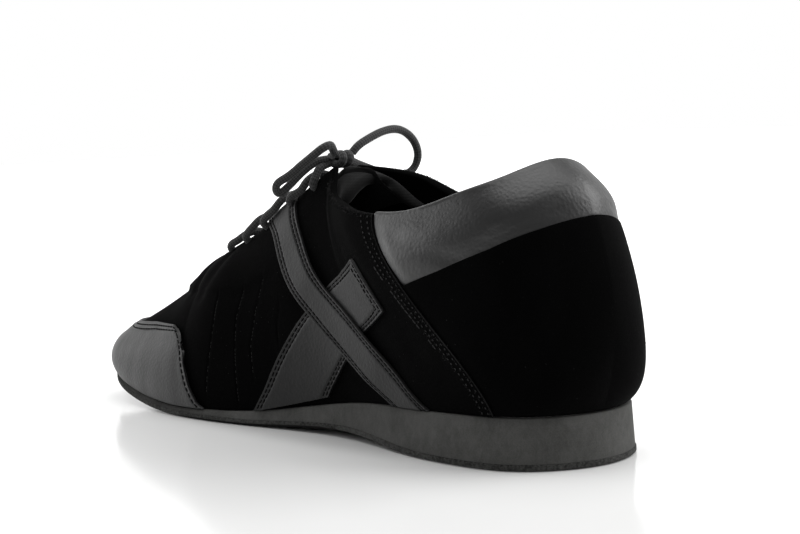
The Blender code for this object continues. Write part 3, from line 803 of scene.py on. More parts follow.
edgeRound = sole["outsoleRound"]
outsole = layPlate(
    "outsole_sheet",
    [
        (lambda x: edgeRound, floorLine),
        (lambda x: 0.5 * edgeRound, lambda x: floorLine(x) + 0.15 * edgeRound),
        (lambda x: 0.2 * edgeRound, lambda x: floorLine(x) + underTop(x)),
        (lambda x: 0.0, lambda x: floorLine(x) + underTop(x) + sole["shadeStep"]),
        (lambda x: 0.0, lambda x: outsoleTop(x) - sole["lip"][1]),
        (lambda x: sole["lip"][0], outsoleTop),
    ],
)
smooth(outsole, 50)
dress(outsole, "outsole_rubber", [rubber, shadowRubber], "outsole")
# faces under the shade line take the near-black rubber, which paints the contact shadow under the sole's
# edge
for face in outsole.data.polygons:
    place = fromFrame(face.center)
    face.material_index = int(place[2] < floorLine(place[0]) + underTop(place[0]) - 0.02)

edgeSoft = sole["wedgeRound"]
footLow, footHigh = sole["wedgeFoot"]
wedgeRows = [(lambda x: last["wedgeBottomInset"], lambda x: outsoleTop(x) + footLow)]
for k in range(sole["wedgeSteps"] + 1):
    share = k / sole["wedgeSteps"]
    wedgeRows.append(
        (
            lambda x, f=share: (1 - f) * last["wedgeBottomInset"] + f * wedgeTop(x),
            lambda x, f=share: (1 - f) * (outsoleTop(x) + footHigh) + f * (seatLine(x) - edgeSoft),
        )
    )
wedgeRows.append((lambda x: wedgeTop(x) + edgeSoft, seatLine))
wedge = layPlate("foam_wedge", wedgeRows)
smooth(wedge, 50)
dress(wedge, "foam_wedge", [foam], "midsole")


def insoleInset(x):
    return wedgeTop(x) + last["featherInset"] + last["wall"] + 2 * last["gap"]


def insoleFloor(x):
    return seatLine(x) + last["gap"]


footbed = layPlate(
    "footbed",
    [
        (insoleInset, insoleFloor),
        (insoleInset, lambda x: insoleFloor(x) + sole["insoleThick"] - sole["insoleRound"]),
        (lambda x: insoleInset(x) + sole["insoleRound"], lambda x: insoleFloor(x) + sole["insoleThick"]),
    ],
)
smooth(footbed, 50)
dress(footbed, "lining_fabric", [lining], "insole")
print("sole made")


# Upper: both sides as one shell, outside, rim and lining

upper = {
    "spans": (
        (0.0, 0.19, 38),
        (0.19, 0.21, 10),
        (0.21, 0.31, 20),
        (0.31, 0.345, 14),
        (0.345, 0.52, 136),
        (0.52, 0.69, 40),
        (0.69, 0.87, 42),
        (0.87, 0.873, 3),
        (0.873, 0.875, 2),
        (0.875, 1.0, 38),
    ),
    "outsideRows": 44,
    "rimRows": 9,
    "liningRows": 22,
    "padAlong": 0.12,
    "padFrom": 0.55,
    "padUp": 0.3,
    "seamProud": 0.45,
    "tuckDepth": 0.35,
    "tuckWidth": 0.5,
    "tuckOver": 0.03,
    "tuckFade": 0.05,
    "tuckStitchIn": 0.85,
    "tuckStitch": (1.1, 0.3, 0.6),
    "seamEase": 0.03,
    "throatEase": 0.02,
    "rearDrop": 3.4,
}
facing = {
    "step": 0.5,
    "edgeSoft": 0.02,
    "vampFrom": (0.15, 0.1),
    "vampTo": (0.53, 0.05),
    "swell": 1.5,
    "swellTo": (0.36, 0.07),
    "swellUp": (0.62, 0.2),
}
tucks = (
    rows("along up", (0.362, 0.10), (0.367, 0.20), (0.375, 0.33), (0.381, 0.48), (0.384, 0.62)),
    rows("along up", (0.418, 0.05), (0.419, 0.21), (0.421, 0.34), (0.425, 0.48), (0.439, 0.61)),
    rows("along up", (0.448, 0.18), (0.449, 0.33), (0.462, 0.48), (0.481, 0.63)),
    rows("along up", (0.499, 0.32), (0.502, 0.40), (0.515, 0.49)),
)
facingEdge = rows(
    "along up", (0.196, 1.1), (0.2, 0.78), (0.29, 0.67), (0.384, 0.625), (0.44, 0.615), (0.52, 0.65)
)
seam = {
    "rowsIn": (1.7, 4.3),
    "ups": (0.005, 0.985),
    "stitch": (0.9, 1.3),
    "shortRowIn": 6.8,
    "shortUps": (0.32, 0.72),
    "shortStitch": (2.2, 0.3, 0.6),
    "edgeIn": 0.1,
    "edgeStitch": (2.4, -0.5),
    "fuzz": ((0.4, 0.5), (1.9, 0.4), (4.8, 0.5)),
    "rimFuzz": ((1.6, 1.0), (3.1, 0.5)),
}
creases = rows(
    "along up alongEnd upEnd depth width",
    (0.335, 0.62, 0.375, 0.92, 0.7, 4.0),
    (0.300, 0.66, 0.325, 0.95, 0.5, 4.5),
    (0.255, 0.70, 0.270, 0.98, 0.4, 4.0),
    (0.800, 0.30, 0.845, 0.52, 0.5, 6.0),
    (0.560, 0.42, 0.600, 0.60, 0.35, 6.0),
)


def foldDepth(table, along, up):
    # soft troughs, with distances taken in millimetres over the wall
    long, tall = last["wallLong"], last["wallTall"]
    depth = np.zeros_like(along)
    for k in range(len(table["along"])):
        row = {name: values[k] for name, values in table.items()}
        start = np.array([row["along"] * long, row["up"] * tall])
        way = np.array([row["alongEnd"] * long, row["upEnd"] * tall]) - start
        x, y = along * long - start[0], up * tall - start[1]
        share = np.clip((x * way[0] + y * way[1]) / (way @ way), 0, 1)
        away = np.hypot(x - share * way[0], y - share * way[1])
        depth += row["depth"] * np.exp(-((away / row["width"]) ** 2))
    return depth


def tuckDepth(along, up):
    # the sewn lines down the vamp
    depth = np.zeros_like(along)
    for line in tucks:
        away = (along - np.interp(up, line["up"], line["along"])) * last["wallLong"] / upper["tuckWidth"]
        low, high = line["up"][0] - upper["tuckOver"], line["up"][-1] + upper["tuckOver"]
        fade = rising(up, low, upper["tuckFade"]) * falling(up, high, upper["tuckFade"])
        depth = np.maximum(depth, np.exp(-(away**2)) * fade)
    return upper["tuckDepth"] * depth


def facingRise(along, up):
    # the facings lie over the vamp, thickest where they meet in front of the throat
    edge = np.interp(along, facingEdge["along"], facingEdge["up"])
    over = ease((up - edge) / facing["edgeSoft"] + 0.5)
    vamp = rising(along, *facing["vampFrom"]) * falling(along, *facing["vampTo"])
    swell = over * falling(along, *facing["swellTo"]) * rising(up, *facing["swellUp"])
    return facing["swell"] * swell - facing["step"] * vamp * (1 - over)


def outsideOffset(along, up):
    proud = upper["seamProud"] * rising(along, last["seam"] - upper["seamEase"], upper["seamEase"])
    front = proud - foldDepth(creases, along, up) - tuckDepth(along, up) + facingRise(along, up)
    return np.where(along > last["seam"] + 1e-6, -last["recess"], front)


def liningOffset(along, up):
    pad = rising(along, last["corner"], upper["padAlong"]) * rising(up, upper["padFrom"], upper["padUp"])
    return -last["wall"] - last["collarPad"] * pad


def layUpperSide(side):
    along = spans(*upper["spans"])
    height = wallHeight(side, along)
    opened = rising(along, last["throat"], upper["throatEase"])
    outside = outsideOffset(along, np.ones_like(along))
    inside = liningOffset(along, np.ones_like(along))
    drop = np.where(along > last["seam"] + 1e-6, upper["rearDrop"], 0.0) / height
    half = (outside - inside) / 2
    tip = half / height * opened
    shareUp = 1 - (1 - np.linspace(0, 1, upper["outsideRows"])) ** 1.15
    turn = np.linspace(0, np.pi, upper["rimRows"] + 2)[1:-1]
    ups, offsets = [], []
    for share in shareUp:
        ups.append(share * (1 - drop - tip))
        offsets.append(outsideOffset(along, ups[-1]))
    for angle in turn:
        ups.append(1 - drop - tip * (1 - np.sin(angle)))
        offsets.append(outside - half * (1 - np.cos(angle)))
    for share in np.linspace(1, 0, upper["liningRows"]):
        ups.append(share * (1 - drop - tip))
        offsets.append(liningOffset(along, ups[-1]))
    ups.append(ups[0])
    offsets.append(offsets[0])
    ups, offsets = np.stack(ups, axis=1), np.stack(offsets, axis=1)
    points = offWall(side, np.repeat(along[:, None], ups.shape[1], axis=1), ups, offsets)
    piece = layGrid("upper_shell", points)
    columns, lines = len(along) - 1, ups.shape[1] - 1
    rim = np.arange(lines)
    firstRim, lastRim = upper["outsideRows"] - 1, upper["outsideRows"] + upper["rimRows"]
    finish = np.zeros((lines, columns), int)
    finish[rim >= lastRim] = 1
    finish[: firstRim - 1, np.abs(along[:-1] - last["seam"]) < 1e-6] = 2
    piece.data.polygons.foreach_set("material_index", finish.ravel())
    closed = (along[1:] <= last["throat"] + 1e-6)[None, :]
    deleteFaces(piece, closed & ((rim >= firstRim) & (rim < lastRim))[:, None])
    return piece


shell = closeUp(layUpperSide(inner), layUpperSide(outer))
smooth(shell, 60)
dress(shell, "upper_suede", [suede, lining, cutSuede], "upper")
print("upper made:", len(shell.data.polygons), "faces")


def wallRow(side, along, ups, offset):
    along, ups = np.broadcast_arrays(np.asarray(along, float), np.asarray(ups, float))
    return offWall(side, along, ups, offset), wallNormal(side, along, ups)


def seamRow(side, before, ups):
    # a line on the quarter at one distance before the rear seam
    along = np.full_like(ups, last["seam"] - before / last["wallLong"])
    return wallRow(side, along, ups, upper["seamProud"])


for side in (inner, outer):
    for line in tucks:
        steps = np.linspace(line["up"][0], line["up"][-1], 60)
        places = np.interp(steps, line["up"], line["along"])
        path, normals = wallRow(side, places, steps, -upper["tuckStitchIn"])
        sewRow("tuck", path, normals, *upper["tuckStitch"])
    steps = np.linspace(*seam["ups"], 160)
    for back in seam["rowsIn"]:
        path, normals = seamRow(side, back, steps)
        sewRow("upper", path, normals, *seam["stitch"])
    path, normals = seamRow(side, seam["edgeIn"], steps)
    sewRow("edge", path, normals, *seam["edgeStitch"])
    path, normals = seamRow(side, seam["shortRowIn"], np.linspace(*seam["shortUps"], 80))
    sewRow("upper", path, normals, *seam["shortStitch"])
    for back, density in seam["fuzz"]:
        path, normals = seamRow(side, back, steps)
        sewFuzz("fuzz", path, normals, density=density)
    places = np.linspace(0.70, 0.872, 120)
    for down, density in seam["rimFuzz"]:
        path, normals = wallRow(side, places, 1 - down / wallHeight(side, places), 0.1)
        sewFuzz("fuzz", path, normals, density=density)
    lint = fuzzSource.uniform((0.37, 0.08), (0.99, 0.9), (fuzz["lint"], 2)).T
    path, normals = wallRow(side, *lint, 0.05)
    turn = unit(np.cross(normals, fuzzSource.normal(size=normals.shape), axis=0))
    stitchRows["fuzz"].append((path, turn, normals, 0.5))
makeStitches("upper_stitching", "upper", "upper_suede", suedeThread, 0.2)
makeStitches("seam_edge", "edge", "upper_suede", cutSuede, 0.2)
makeStitches("tuck_stitching", "tuck", "upper_suede", tuckThread, 0.18)
makeStitches("suede_fuzz", "fuzz", "upper_suede", cutSuede, 0.09)


# Toe cap

toeCap = {
    "across": 150,
    "lines": 46,
    "thick": 1.1,
    "edge": 0.25,
    "rowsIn": (1.8, 4.0),
    "sideRowIn": 1.7,
    "sideGrooveWidth": 0.6,
    "cornerRound": 4.5,
    "grooveDepth": 0.4,
    "grooveWidth": 0.55,
    "creaseDepth": 0.25,
    "creaseIn": 9.0,
    "creaseWidth": 3.0,
    "halfWide": 95.0,
    "tall": 60.0,
    "reach": 0.42,
    "sideGuess": 0.3,
    "settleSteps": 40,
    "settleSpan": 400.0,
}
toeTop = rows("x z", (212.0, 36.4), (231.0, 35.8), (254.0, 33.8), (275.0, 32.6), (310.0, 32.0))
toeSide = rows(
    "z x", (4.0, 186.6), (7.0, 190.8), (13.0, 194.6), (27.0, 200.6), (33.5, 206.4), (38.0, 213.0)
)


def levelUp(side, along, heightAt):
    # the up at which the wall reaches a height that depends on x
    steps = np.linspace(0, 1, 120)
    wall = wallPoint(side, along[:, None], steps[None, :])
    over = wall[2] - heightAt(wall[0])
    first = np.argmax(over > 0, axis=1)
    first = np.where((over > 0).any(axis=1), np.maximum(first, 1), len(steps) - 1)
    k = np.arange(len(along))
    low, high = over[k, first - 1], over[k, first]
    share = np.clip(-low / np.where(high == low, 1, high - low), 0, 1)
    return steps[first - 1] + share * (steps[1] - steps[0])


def layToeCap():
    share = np.linspace(-1, 1, toeCap["across"])
    share = share * (1.35 - 0.35 * share**2)
    line = np.linspace(0, 1, toeCap["lines"])
    halves = {}
    for side in (inner, outer):
        places = np.linspace(0, toeCap["reach"], 160)
        top = levelUp(side, places, lambda x: np.interp(x, toeTop["x"], toeTop["z"]))
        edgeUp = np.linspace(0, 1, 60)
        edgeAlong = np.full_like(edgeUp, toeCap["sideGuess"])
        for _ in range(toeCap["settleSteps"]):
            ups = edgeUp * np.interp(edgeAlong, places, top)
            here = wallPoint(side, edgeAlong, ups)
            beyond = here[0] - np.interp(here[2], toeSide["z"], toeSide["x"])
            edgeAlong += beyond / toeCap["settleSpan"]
        radius = toeCap["cornerRound"]
        inset = np.clip(radius - (1 - np.abs(share)) * toeCap["halfWide"], 0, radius)
        drop = (radius - np.sqrt(radius**2 - inset**2)) / toeCap["tall"]
        left = line[None, :] * (1 - drop / np.interp(edgeAlong[-1], places, top))[:, None]
        along = np.abs(share)[:, None] * np.interp(left, edgeUp, edgeAlong)
        up = left * np.interp(along, places, top)
        halves[side] = along, up
    return share, halves


def grooves(away, cut):
    # sewn lines at their distances from an edge
    depth, width = cut["grooveDepth"], cut["grooveWidth"]
    return sum(depth * np.exp(-(((away - at) / width) ** 2)) for at in cut["rowsIn"])


def makeToeCap():
    share, halves = layToeCap()
    points = np.zeros((3, toeCap["across"], toeCap["lines"]))
    face = last["gap"] + toeCap["thick"]
    for side in (inner, outer):
        along, up = halves[side]
        fromTop = fromEnd(wallPoint(side, along, up))
        fromSide = np.abs(1 - np.abs(share))[:, None] * toeCap["halfWide"]
        sink = grooves(fromTop, toeCap)
        sideGroove = (fromSide - toeCap["sideRowIn"]) / toeCap["sideGrooveWidth"]
        sink += 0.5 * toeCap["grooveDepth"] * np.exp(-(sideGroove**2))
        crease = (fromTop - toeCap["creaseIn"]) / toeCap["creaseWidth"]
        sink += toeCap["creaseDepth"] * np.exp(-(crease**2))
        laid = offWall(side, along, up, face - sink)
        use = share >= 0 if side > 0 else share < 0
        points[:, use] = laid[:, use]
    outwards = wallFaces(points)
    piece = layGrid("toe_guard", points if outwards else points[:, ::-1])
    normals = unit(np.cross(np.gradient(points, axis=1), np.gradient(points, axis=2), axis=0))
    normals = normals if outwards else -normals
    for back in toeCap["rowsIn"]:
        sewAcross("toe", points, normals, back)
    for edge in (0, -1):
        sideRow = 1 - np.abs(share) - toeCap["sideRowIn"] / toeCap["halfWide"]
        k = np.argmin(np.abs(sideRow) + (share * (edge + 0.5) < 0))
        sewRow("toe", points[:, k, 1:-3], normals[:, k, 1:-3])
    thicken(piece, toeCap["thick"], toeCap["edge"])
    smooth(piece, 45)
    return piece


def wallFaces(points):
    # whether a grid's faces look away from the shoe's middle line
    k, j = points.shape[1] // 4, points.shape[2] // 2
    normal = np.cross(points[:, k + 1, j] - points[:, k, j], points[:, k, j + 1] - points[:, k, j])
    centre = points.reshape(3, -1).mean(axis=1)
    return normal @ (points[:, k, j] - centre) > 0


def sewAcross(group, points, normals, back):
    # a row of stitches at one distance under the grid's upper edge
    lines = np.arange(points.shape[2])
    row = np.array([np.interp(-back, -column, lines) for column in fromEnd(points)])
    low = np.clip(row.astype(int), 0, points.shape[2] - 2)
    part = row - low
    k = np.arange(points.shape[1])
    path = points[:, k, low] * (1 - part) + points[:, k, low + 1] * part
    sewRow(group, path[:, 3:-3], normals[:, k, low][:, 3:-3])


toePiece = makeToeCap()
dress(toePiece, "smooth_leather", [toeLeather], "toe_cap")
makeStitches("toe_stitching", "toe", "smooth_leather", thread)
print("toe cap made")


# Straps

strap = {
    "across": 46,
    "lines": 110,
    "thick": 1.1,
    "edge": 0.25,
    "rowsIn": (1.5, 3.4),
    "grooveDepth": 0.4,
    "grooveWidth": 0.5,
    "places": 200,
    "topUp": 0.99,
    "footGap": 0.035,
    "crossing": (109.0, 43.0),
    "crossingReach": 46.0,
    "crossingEase": 22.0,
    "crown": 0.25,
    "crownWidth": 6.0,
    "edgeDown": 0.15,
    "endStep": 1.1,
}
strapFront = rows(
    "frontX frontZ rearX rearZ",
    (166.0, -5.0, 131.0, -5.0),
    (159.3, 6.3, 120.3, 13.7),
    (152.9, 15.1, 113.9, 21.9),
    (146.6, 26.4, 106.6, 29.6),
    (139.0, 37.7, 99.5, 35.3),
    (131.2, 46.1, 92.8, 40.7),
    (116.2, 57.3, 82.0, 46.3),
    (93.8, 68.9, 72.9, 51.3),
)
strapRear = rows(
    "frontX frontZ rearX rearZ",
    (181.0, 88.0, 160.0, 96.0),
    (172.0, 79.0, 152.0, 88.0),
    (159.5, 73.5, 140.7, 76.3),
    (146.4, 59.4, 124.1, 60.6),
    (130.0, 47.2, 107.6, 51.3),
    (116.6, 38.8, 91.5, 42.8),
    (103.0, 31.0, 76.7, 34.3),
    (91.1, 24.4, 65.3, 25.7),
    (81.0, 19.4, 54.8, 18.5),
    (60.0, 8.0, 34.0, 7.0),
)


def strapOver(side, along, up):
    # how far the rear strap is lifted where it lies over the front one
    where = wallPoint(side, along, up)
    away = np.hypot(where[0] - strap["crossing"][0], where[2] - strap["crossing"][1])
    return (last["gap"] + strap["thick"]) * falling(away, strap["crossingReach"], strap["crossingEase"])


def layStrap(name, side, edges, over, freeEnd):
    steps = np.linspace(0, 1, strap["places"])
    knots = np.linspace(0, 1, len(edges["frontX"]))
    line = {key: curve(knots, edges[key], steps) for key in edges}
    share = np.linspace(0, 1, strap["across"])
    x = line["frontX"][None, :] * (1 - share[:, None]) + line["rearX"][None, :] * share[:, None]
    z = line["frontZ"][None, :] * (1 - share[:, None]) + line["rearZ"][None, :] * share[:, None]
    along, up = placeOn(side, x, z)
    ways = np.linspace(0, 1, strap["lines"])
    laidAlong, laidUp = np.zeros((2, strap["across"], strap["lines"]))
    for k in range(strap["across"]):
        foot = strap["footGap"] * share[k] if freeEnd else 0.0
        outside = np.flatnonzero((up[k] < foot) | (up[k] > strap["topUp"]))
        middle = strap["places"] // 2
        low = max(outside[outside < middle], default=-1) + 1
        high = min(outside[outside > middle], default=strap["places"]) - 1
        first = crossingPoint(up[k], low, -1, foot)
        final = crossingPoint(up[k], high, 1, foot)
        at = first + (final - first) * ways
        laidAlong[k] = np.interp(at, np.arange(strap["places"]), along[k])
        laidUp[k] = np.clip(np.interp(at, np.arange(strap["places"]), up[k]), 0, strap["topUp"])
    face = last["gap"] + strap["thick"] + (strapOver(side, laidAlong, laidUp) if over else 0.0)
    flat = offWall(side, laidAlong, laidUp, face)
    width = np.linalg.norm(flat[:, -1] - flat[:, 0], axis=0)[None, :]
    fromEdge = np.minimum(share, 1 - share)[:, None] * width
    if freeEnd:
        fromEdge = np.minimum(fromEdge, fromEnd(flat))
    sink = grooves(fromEdge, strap)
    crown = strap["crown"] * ease(fromEdge / strap["crownWidth"]) - strap["edgeDown"]
    points = offWall(side, laidAlong, laidUp, face - sink + crown)
    normals = wallNormal(side, laidAlong, laidUp)
    corner = points[:, 10, 50]
    outwards = np.cross(points[:, 11, 50] - corner, points[:, 10, 51] - corner)
    looksOut = np.sum(outwards * normals[:, 10, 50]) > 0
    piece = layGrid(name, points if looksOut else points[:, ::-1])
    lines = np.arange(strap["lines"])
    for at in strap["rowsIn"]:
        for mirrored in (False, True):
            part = np.minimum(at / width[0], 0.5)
            column = (1 - part if mirrored else part) * (strap["across"] - 1)
            low = np.clip(column.astype(int), 0, strap["across"] - 2)
            mix = column - low
            path = points[:, low, lines] * (1 - mix) + points[:, low + 1, lines] * mix
            stop = strap["lines"] - int(np.ceil(at / strap["endStep"])) if freeEnd else strap["lines"]
            sewRow("strap", path[:, 1:stop], normals[:, low, lines][:, 1:stop])
        if freeEnd:
            keep = max(int(at / width[0][-1] * strap["across"]) - 3, 0)
            kept = slice(keep, strap["across"] - keep)
            sewAcross("strap", points[:, kept], normals[:, kept], at)
    thicken(piece, strap["thick"], strap["edge"])
    smooth(piece, 45)
    return piece


def crossingPoint(ups, index, step, foot):
    # where a line of places passes the wall's lower or upper end, as a fraction of its steps
    beyond = index + step
    if beyond < 0 or beyond >= len(ups):
        return float(index)
    limit = foot if ups[beyond] < foot else strap["topUp"]
    return index + step * (limit - ups[index]) / (ups[beyond] - ups[index])


topStraps = []
for side, word in ((inner, "inner"), (outer, "outer")):
    under = layStrap("front_strap_" + word, side, strapFront, False, True)
    dress(under, "smooth_leather", [strapLeather], "strap_front_" + word)
    above = layStrap("rear_strap_" + word, side, strapRear, True, False)
    dress(above, "smooth_leather", [strapLeather], "strap_rear_" + word)
    topStraps.append(above)
makeStitches("strap_stitching", "strap", "smooth_leather", thread)
print("straps made")


# Holes for the lace, through the facings and the straps' ends on them

lace = {
    "rows": (0.36, 0.415, 0.47, 0.56, 0.635),
    "radius": 1.6,
    "reach": 0.055,
    "holeRadius": 1.9,
    "sides": 12,
    "step": 0.7,
    "over": 1.75,
    "under": -4.25,
    "strapAt": 0.49,
    "strapLift": 1.4,
    "strapReach": (0.1, 0.04),
    "braidLength": 2.2,
}


def punchHoles(*pieces):
    cutters = []
    for along in lace["rows"]:
        for across in (-1, 1):
            at = [roofPoint([along], [across], [d], lace["reach"])[:, 0] for d in (-6.0, 6.0)]
            low, high = (Vector(toFrame(p)) for p in at)
            bpy.ops.mesh.primitive_cylinder_add(
                vertices=20,
                radius=lace["holeRadius"] * mm,
                depth=(high - low).length,
                location=(low + high) / 2,
                rotation=(high - low).to_track_quat("Z", "Y").to_euler(),
            )
            cutters.append(bpy.context.object)
    activate(*cutters)
    bpy.ops.object.join()
    bpy.ops.object.transform_apply(location=True, rotation=True, scale=True)
    for piece in pieces:
        solver = "EXACT" if piece is shell else "MANIFOLD"
        modify(piece, "BOOLEAN", operation="DIFFERENCE", solver=solver, object=cutters[0])
        smooth(piece, 50)
    bpy.data.objects.remove(cutters[0])


punchHoles(shell, *topStraps)
print("holes punched, faces left:", [len(piece.data.polygons) for piece in (shell, *topStraps)])


# Heel counter and padded collar

rear = {
    "places": 110,
    "counterRows": 46,
    "collarRows": 40,
    "rollRows": 14,
    "insideRows": 8,
    "thick": 0.9,
    "edge": 0.2,
    "lap": 1.6,
    "puff": 1.5,
    "rollThick": 5.6,
    "rollRise": 1.5,
    "insideTo": 0.87,
    "from": 0.8742,
    "counterIn": 0.1,
    "topSwell": (0.3, 6.0),
    "under": 1.2,
    "swellRise": 0.4,
    "swellFall": 0.55,
    "endEase": 0.012,
    "endPuff": 0.25,
    "tuckIn": 1.15,
    "tuckRise": 0.12,
    "foldRise": 0.1,
}
collarEdge = rows(
    "x z",
    (-20.0, 88.0),
    (0.5, 83.0),
    (3.0, 81.8),
    (7.6, 79.3),
    (20.5, 73.0),
    (40.3, 65.4),
    (57.4, 59.8),
    (120.0, 41.0),
)
collarFolds = rows(
    "along up alongEnd upEnd depth width",
    (0.925, 0.95, 0.945, 0.74, 0.5, 6.5),
    (0.890, 0.86, 0.925, 0.72, 0.5, 3.0),
    (0.950, 0.76, 0.985, 0.79, 0.35, 1.6),
    (0.955, 0.79, 0.985, 0.82, 0.25, 1.4),
    (0.945, 0.73, 0.975, 0.75, 0.3, 1.5),
)


def rearHalf(side):
    along = rear["from"] + (1 - rear["from"]) * np.linspace(0, 1, rear["places"])
    height = wallHeight(side, along)
    border = levelUp(side, along, lambda x: np.interp(x, collarEdge["x"], collarEdge["z"]))
    return along, height, border


def layHalves(name, halves):
    # the inner half and the outer one as one sheet that meets behind the heel
    return layGrid(name, np.concatenate([halves[0], halves[1][:, -2::-1]], axis=1))


def layCounter():
    halves = []
    for side in (inner, outer):
        along, height, border = rearHalf(side)
        top = border + rear["lap"] / height
        share = 1 - (1 - np.linspace(0, 1, rear["counterRows"])) ** 1.3
        ups = share[None, :] * top[:, None]
        wide = np.repeat(along[:, None], len(share), axis=1)
        fromTop = (top[:, None] - ups) * height[:, None]
        swell, swellWidth = rear["topSwell"]
        offset = -rear["counterIn"] + swell * np.exp(-((fromTop / swellWidth) ** 2))
        offset -= foldDepth(creases, wide, ups)
        laid = offWall(side, wide, ups, offset)
        halves.append(laid)
    return layHalves("counter_panel", halves)


def layCollar():
    halves = []
    for side in (inner, outer):
        along, height, border = rearHalf(side)
        half = rear["rollThick"] / 2
        tip, rise = half / height, rear["rollRise"] / height
        low = border - rear["under"] / height
        ends = rising(along, rear["from"], rear["endEase"])
        ups, offsets = [], []
        for share in np.linspace(0, 1, rear["collarRows"]):
            up = low + share * (1 + rise - tip - low)
            swell = ease(share / rear["swellRise"]) * falling(share, 1, rear["swellFall"])
            sink = -rear["tuckIn"] * (1 - ease(share / rear["tuckRise"]))
            ups.append(up)
            fold = foldDepth(collarFolds, along, up) * ease(share / rear["foldRise"])
            puff = rear["puff"] * swell * (rear["endPuff"] + (1 - rear["endPuff"]) * ends)
            offsets.append(-0.3 * (1 - share) + sink + puff - fold)
        for angle in np.linspace(0, np.pi, rear["rollRows"] + 2)[1:-1]:
            ups.append(1 + rise - tip * (1 - np.sin(angle)))
            offsets.append(np.full_like(along, -half * (1 - np.cos(angle))))
        for share in np.linspace(0, 1, rear["insideRows"]):
            ups.append((1 + rise - tip) * (1 - share) + rear["insideTo"] * share)
            offsets.append(np.full_like(along, -rear["rollThick"]) + 0.5 * share)
        ups, offsets = np.stack(ups, axis=1), np.stack(offsets, axis=1)
        laid = offWall(side, np.repeat(along[:, None], ups.shape[1], axis=1), ups, offsets)
        halves.append(laid)
    return layHalves("collar_pad", halves)


counter = layCounter()
thicken(counter, rear["thick"], rear["edge"], suede, cutSuede)
smooth(counter, 45)
dress(counter, "upper_suede", [suede, cutSuede], "heel_counter")
collar = layCollar()
thicken(collar, rear["thick"], rear["edge"])
smooth(collar, 60)
dress(collar, "smooth_leather", [collarLeather], "collar")
print("counter and collar made")


# Tongue

tongue = {
    "lines": 56,
    "across": 49,
    "from": 0.322,
    "to": 0.675,
    "offset": -5.9,
    "crown": 2.9,
    "crownWidth": 0.42,
    "reach": 0.2,
    "thick": 2.2,
    "padThick": 4.6,
    "endLines": 22,
    "rollLines": 9,
    "endLean": (-1.0, 0.0, -0.35),
    "sideRound": 8,
}
tongueEnd = rows(
    "x y z",
    (105.6, -12.3, 85.0),
    (109.0, -10.2, 88.0),
    (112.0, -8.0, 91.5),
    (115.5, -5.2, 95.2),
    (119.5, -2.4, 97.3),
    (121.3, 2.5, 97.8),
    (121.8, 7.5, 95.8),
    (122.3, 12.2, 91.8),
    (123.0, 15.0, 86.5),
)


def layTongue():
    # a flat pad under the lace that swells to a rolled end in the opening
    along = np.linspace(tongue["from"], tongue["to"], tongue["lines"])
    across = np.linspace(-1, 1, tongue["across"])
    a, c = np.meshgrid(along, across, indexing="ij")
    raised = tongue["crown"] * (1 - ease(np.abs(c) / tongue["crownWidth"]))
    laid = roofPoint(a, c, tongue["offset"] + raised, tongue["reach"])
    knots = np.linspace(-1, 1, len(tongueEnd["x"]))
    end = np.array([curve(knots, tongueEnd[axis], across) for axis in "xyz"])[:, None, :]
    start = laid[:, -1:]
    gap = np.linalg.norm(end - start, axis=0)
    leave = unit(laid[:, -1:] - laid[:, -4:-3]) * gap
    arrive = unit(np.array(tongue["endLean"]))[:, None, None] * gap
    t = np.linspace(0, 1, tongue["endLines"] + 1)[1:][None, :, None]
    top = np.concatenate([laid, hermite(t, start, leave, end, arrive)], axis=1)
    normal = unit(np.cross(np.gradient(top, axis=1), np.gradient(top, axis=2), axis=0))
    normal = normal if normal[2, 30, tongue["across"] // 2] > 0 else -normal
    swell = ease((np.arange(top.shape[1]) - tongue["lines"] + 4) / (tongue["endLines"] + 2))
    thick = tongue["thick"] + (tongue["padThick"] - tongue["thick"]) * swell
    thick = thick[:, None] * np.sqrt(np.clip(1 - across[None, :] ** tongue["sideRound"], 0, 1))
    low = top - thick * normal
    tip = unit(top[:, -1:] - top[:, -2:-1])
    turn = np.linspace(0, np.pi, tongue["rollLines"] + 2)[None, 1:-1, None]
    half = thick[-1:] / 2
    roll = top[:, -1:] + half * (normal[:, -1:] * (np.cos(turn) - 1) + tip * np.sin(turn))
    points = np.concatenate([top, roll, low[:, ::-1], top[:, :1]], axis=1)
    return closeUp(layGrid("tongue_pad", points))


tonguePiece = layTongue()
smooth(tonguePiece, 70)
dress(tonguePiece, "tongue_fabric", [tongueCloth], "tongue")
print("tongue made")


# Lace

knot = {"centre": (136.0, 3.8, 103.4), "turns": 2.0, "halfX": 2.9, "halfZ": 2.0, "halfY": 3.3}
loopInner = rows(
    "x y z",
    (134.3, 8.1, 105.6),
    (133.0, 10.2, 107.9),
    (131.0, 13.2, 109.2),
    (131.6, 16.2, 108.0),
    (135.0, 18.5, 105.2),
    (140.0, 21.0, 101.4),
    (145.0, 24.5, 97.2),
    (148.6, 26.6, 93.6),
    (149.0, 25.4, 91.4),
    (147.3, 22.9, 92.9),
    (144.8, 19.0, 97.2),
    (142.2, 15.0, 101.1),
    (140.2, 11.2, 103.2),
    (138.5, 8.4, 103.6),
)
loopOuter = rows(
    "x y z",
    (135.0, -0.8, 105.7),
    (134.4, -2.8, 107.8),
    (134.2, -7.6, 110.4),
    (134.5, -13.0, 112.4),
    (135.0, -18.0, 113.6),
    (135.5, -24.0, 113.8),
    (136.0, -29.5, 111.8),
    (136.2, -33.5, 107.8),
    (136.6, -35.0, 102.6),
    (138.0, -33.4, 97.6),
    (138.8, -28.0, 95.4),
    (139.2, -20.0, 96.4),
    (139.0, -12.0, 99.0),
    (138.4, -5.0, 101.4),
    (137.2, -1.6, 102.6),
)


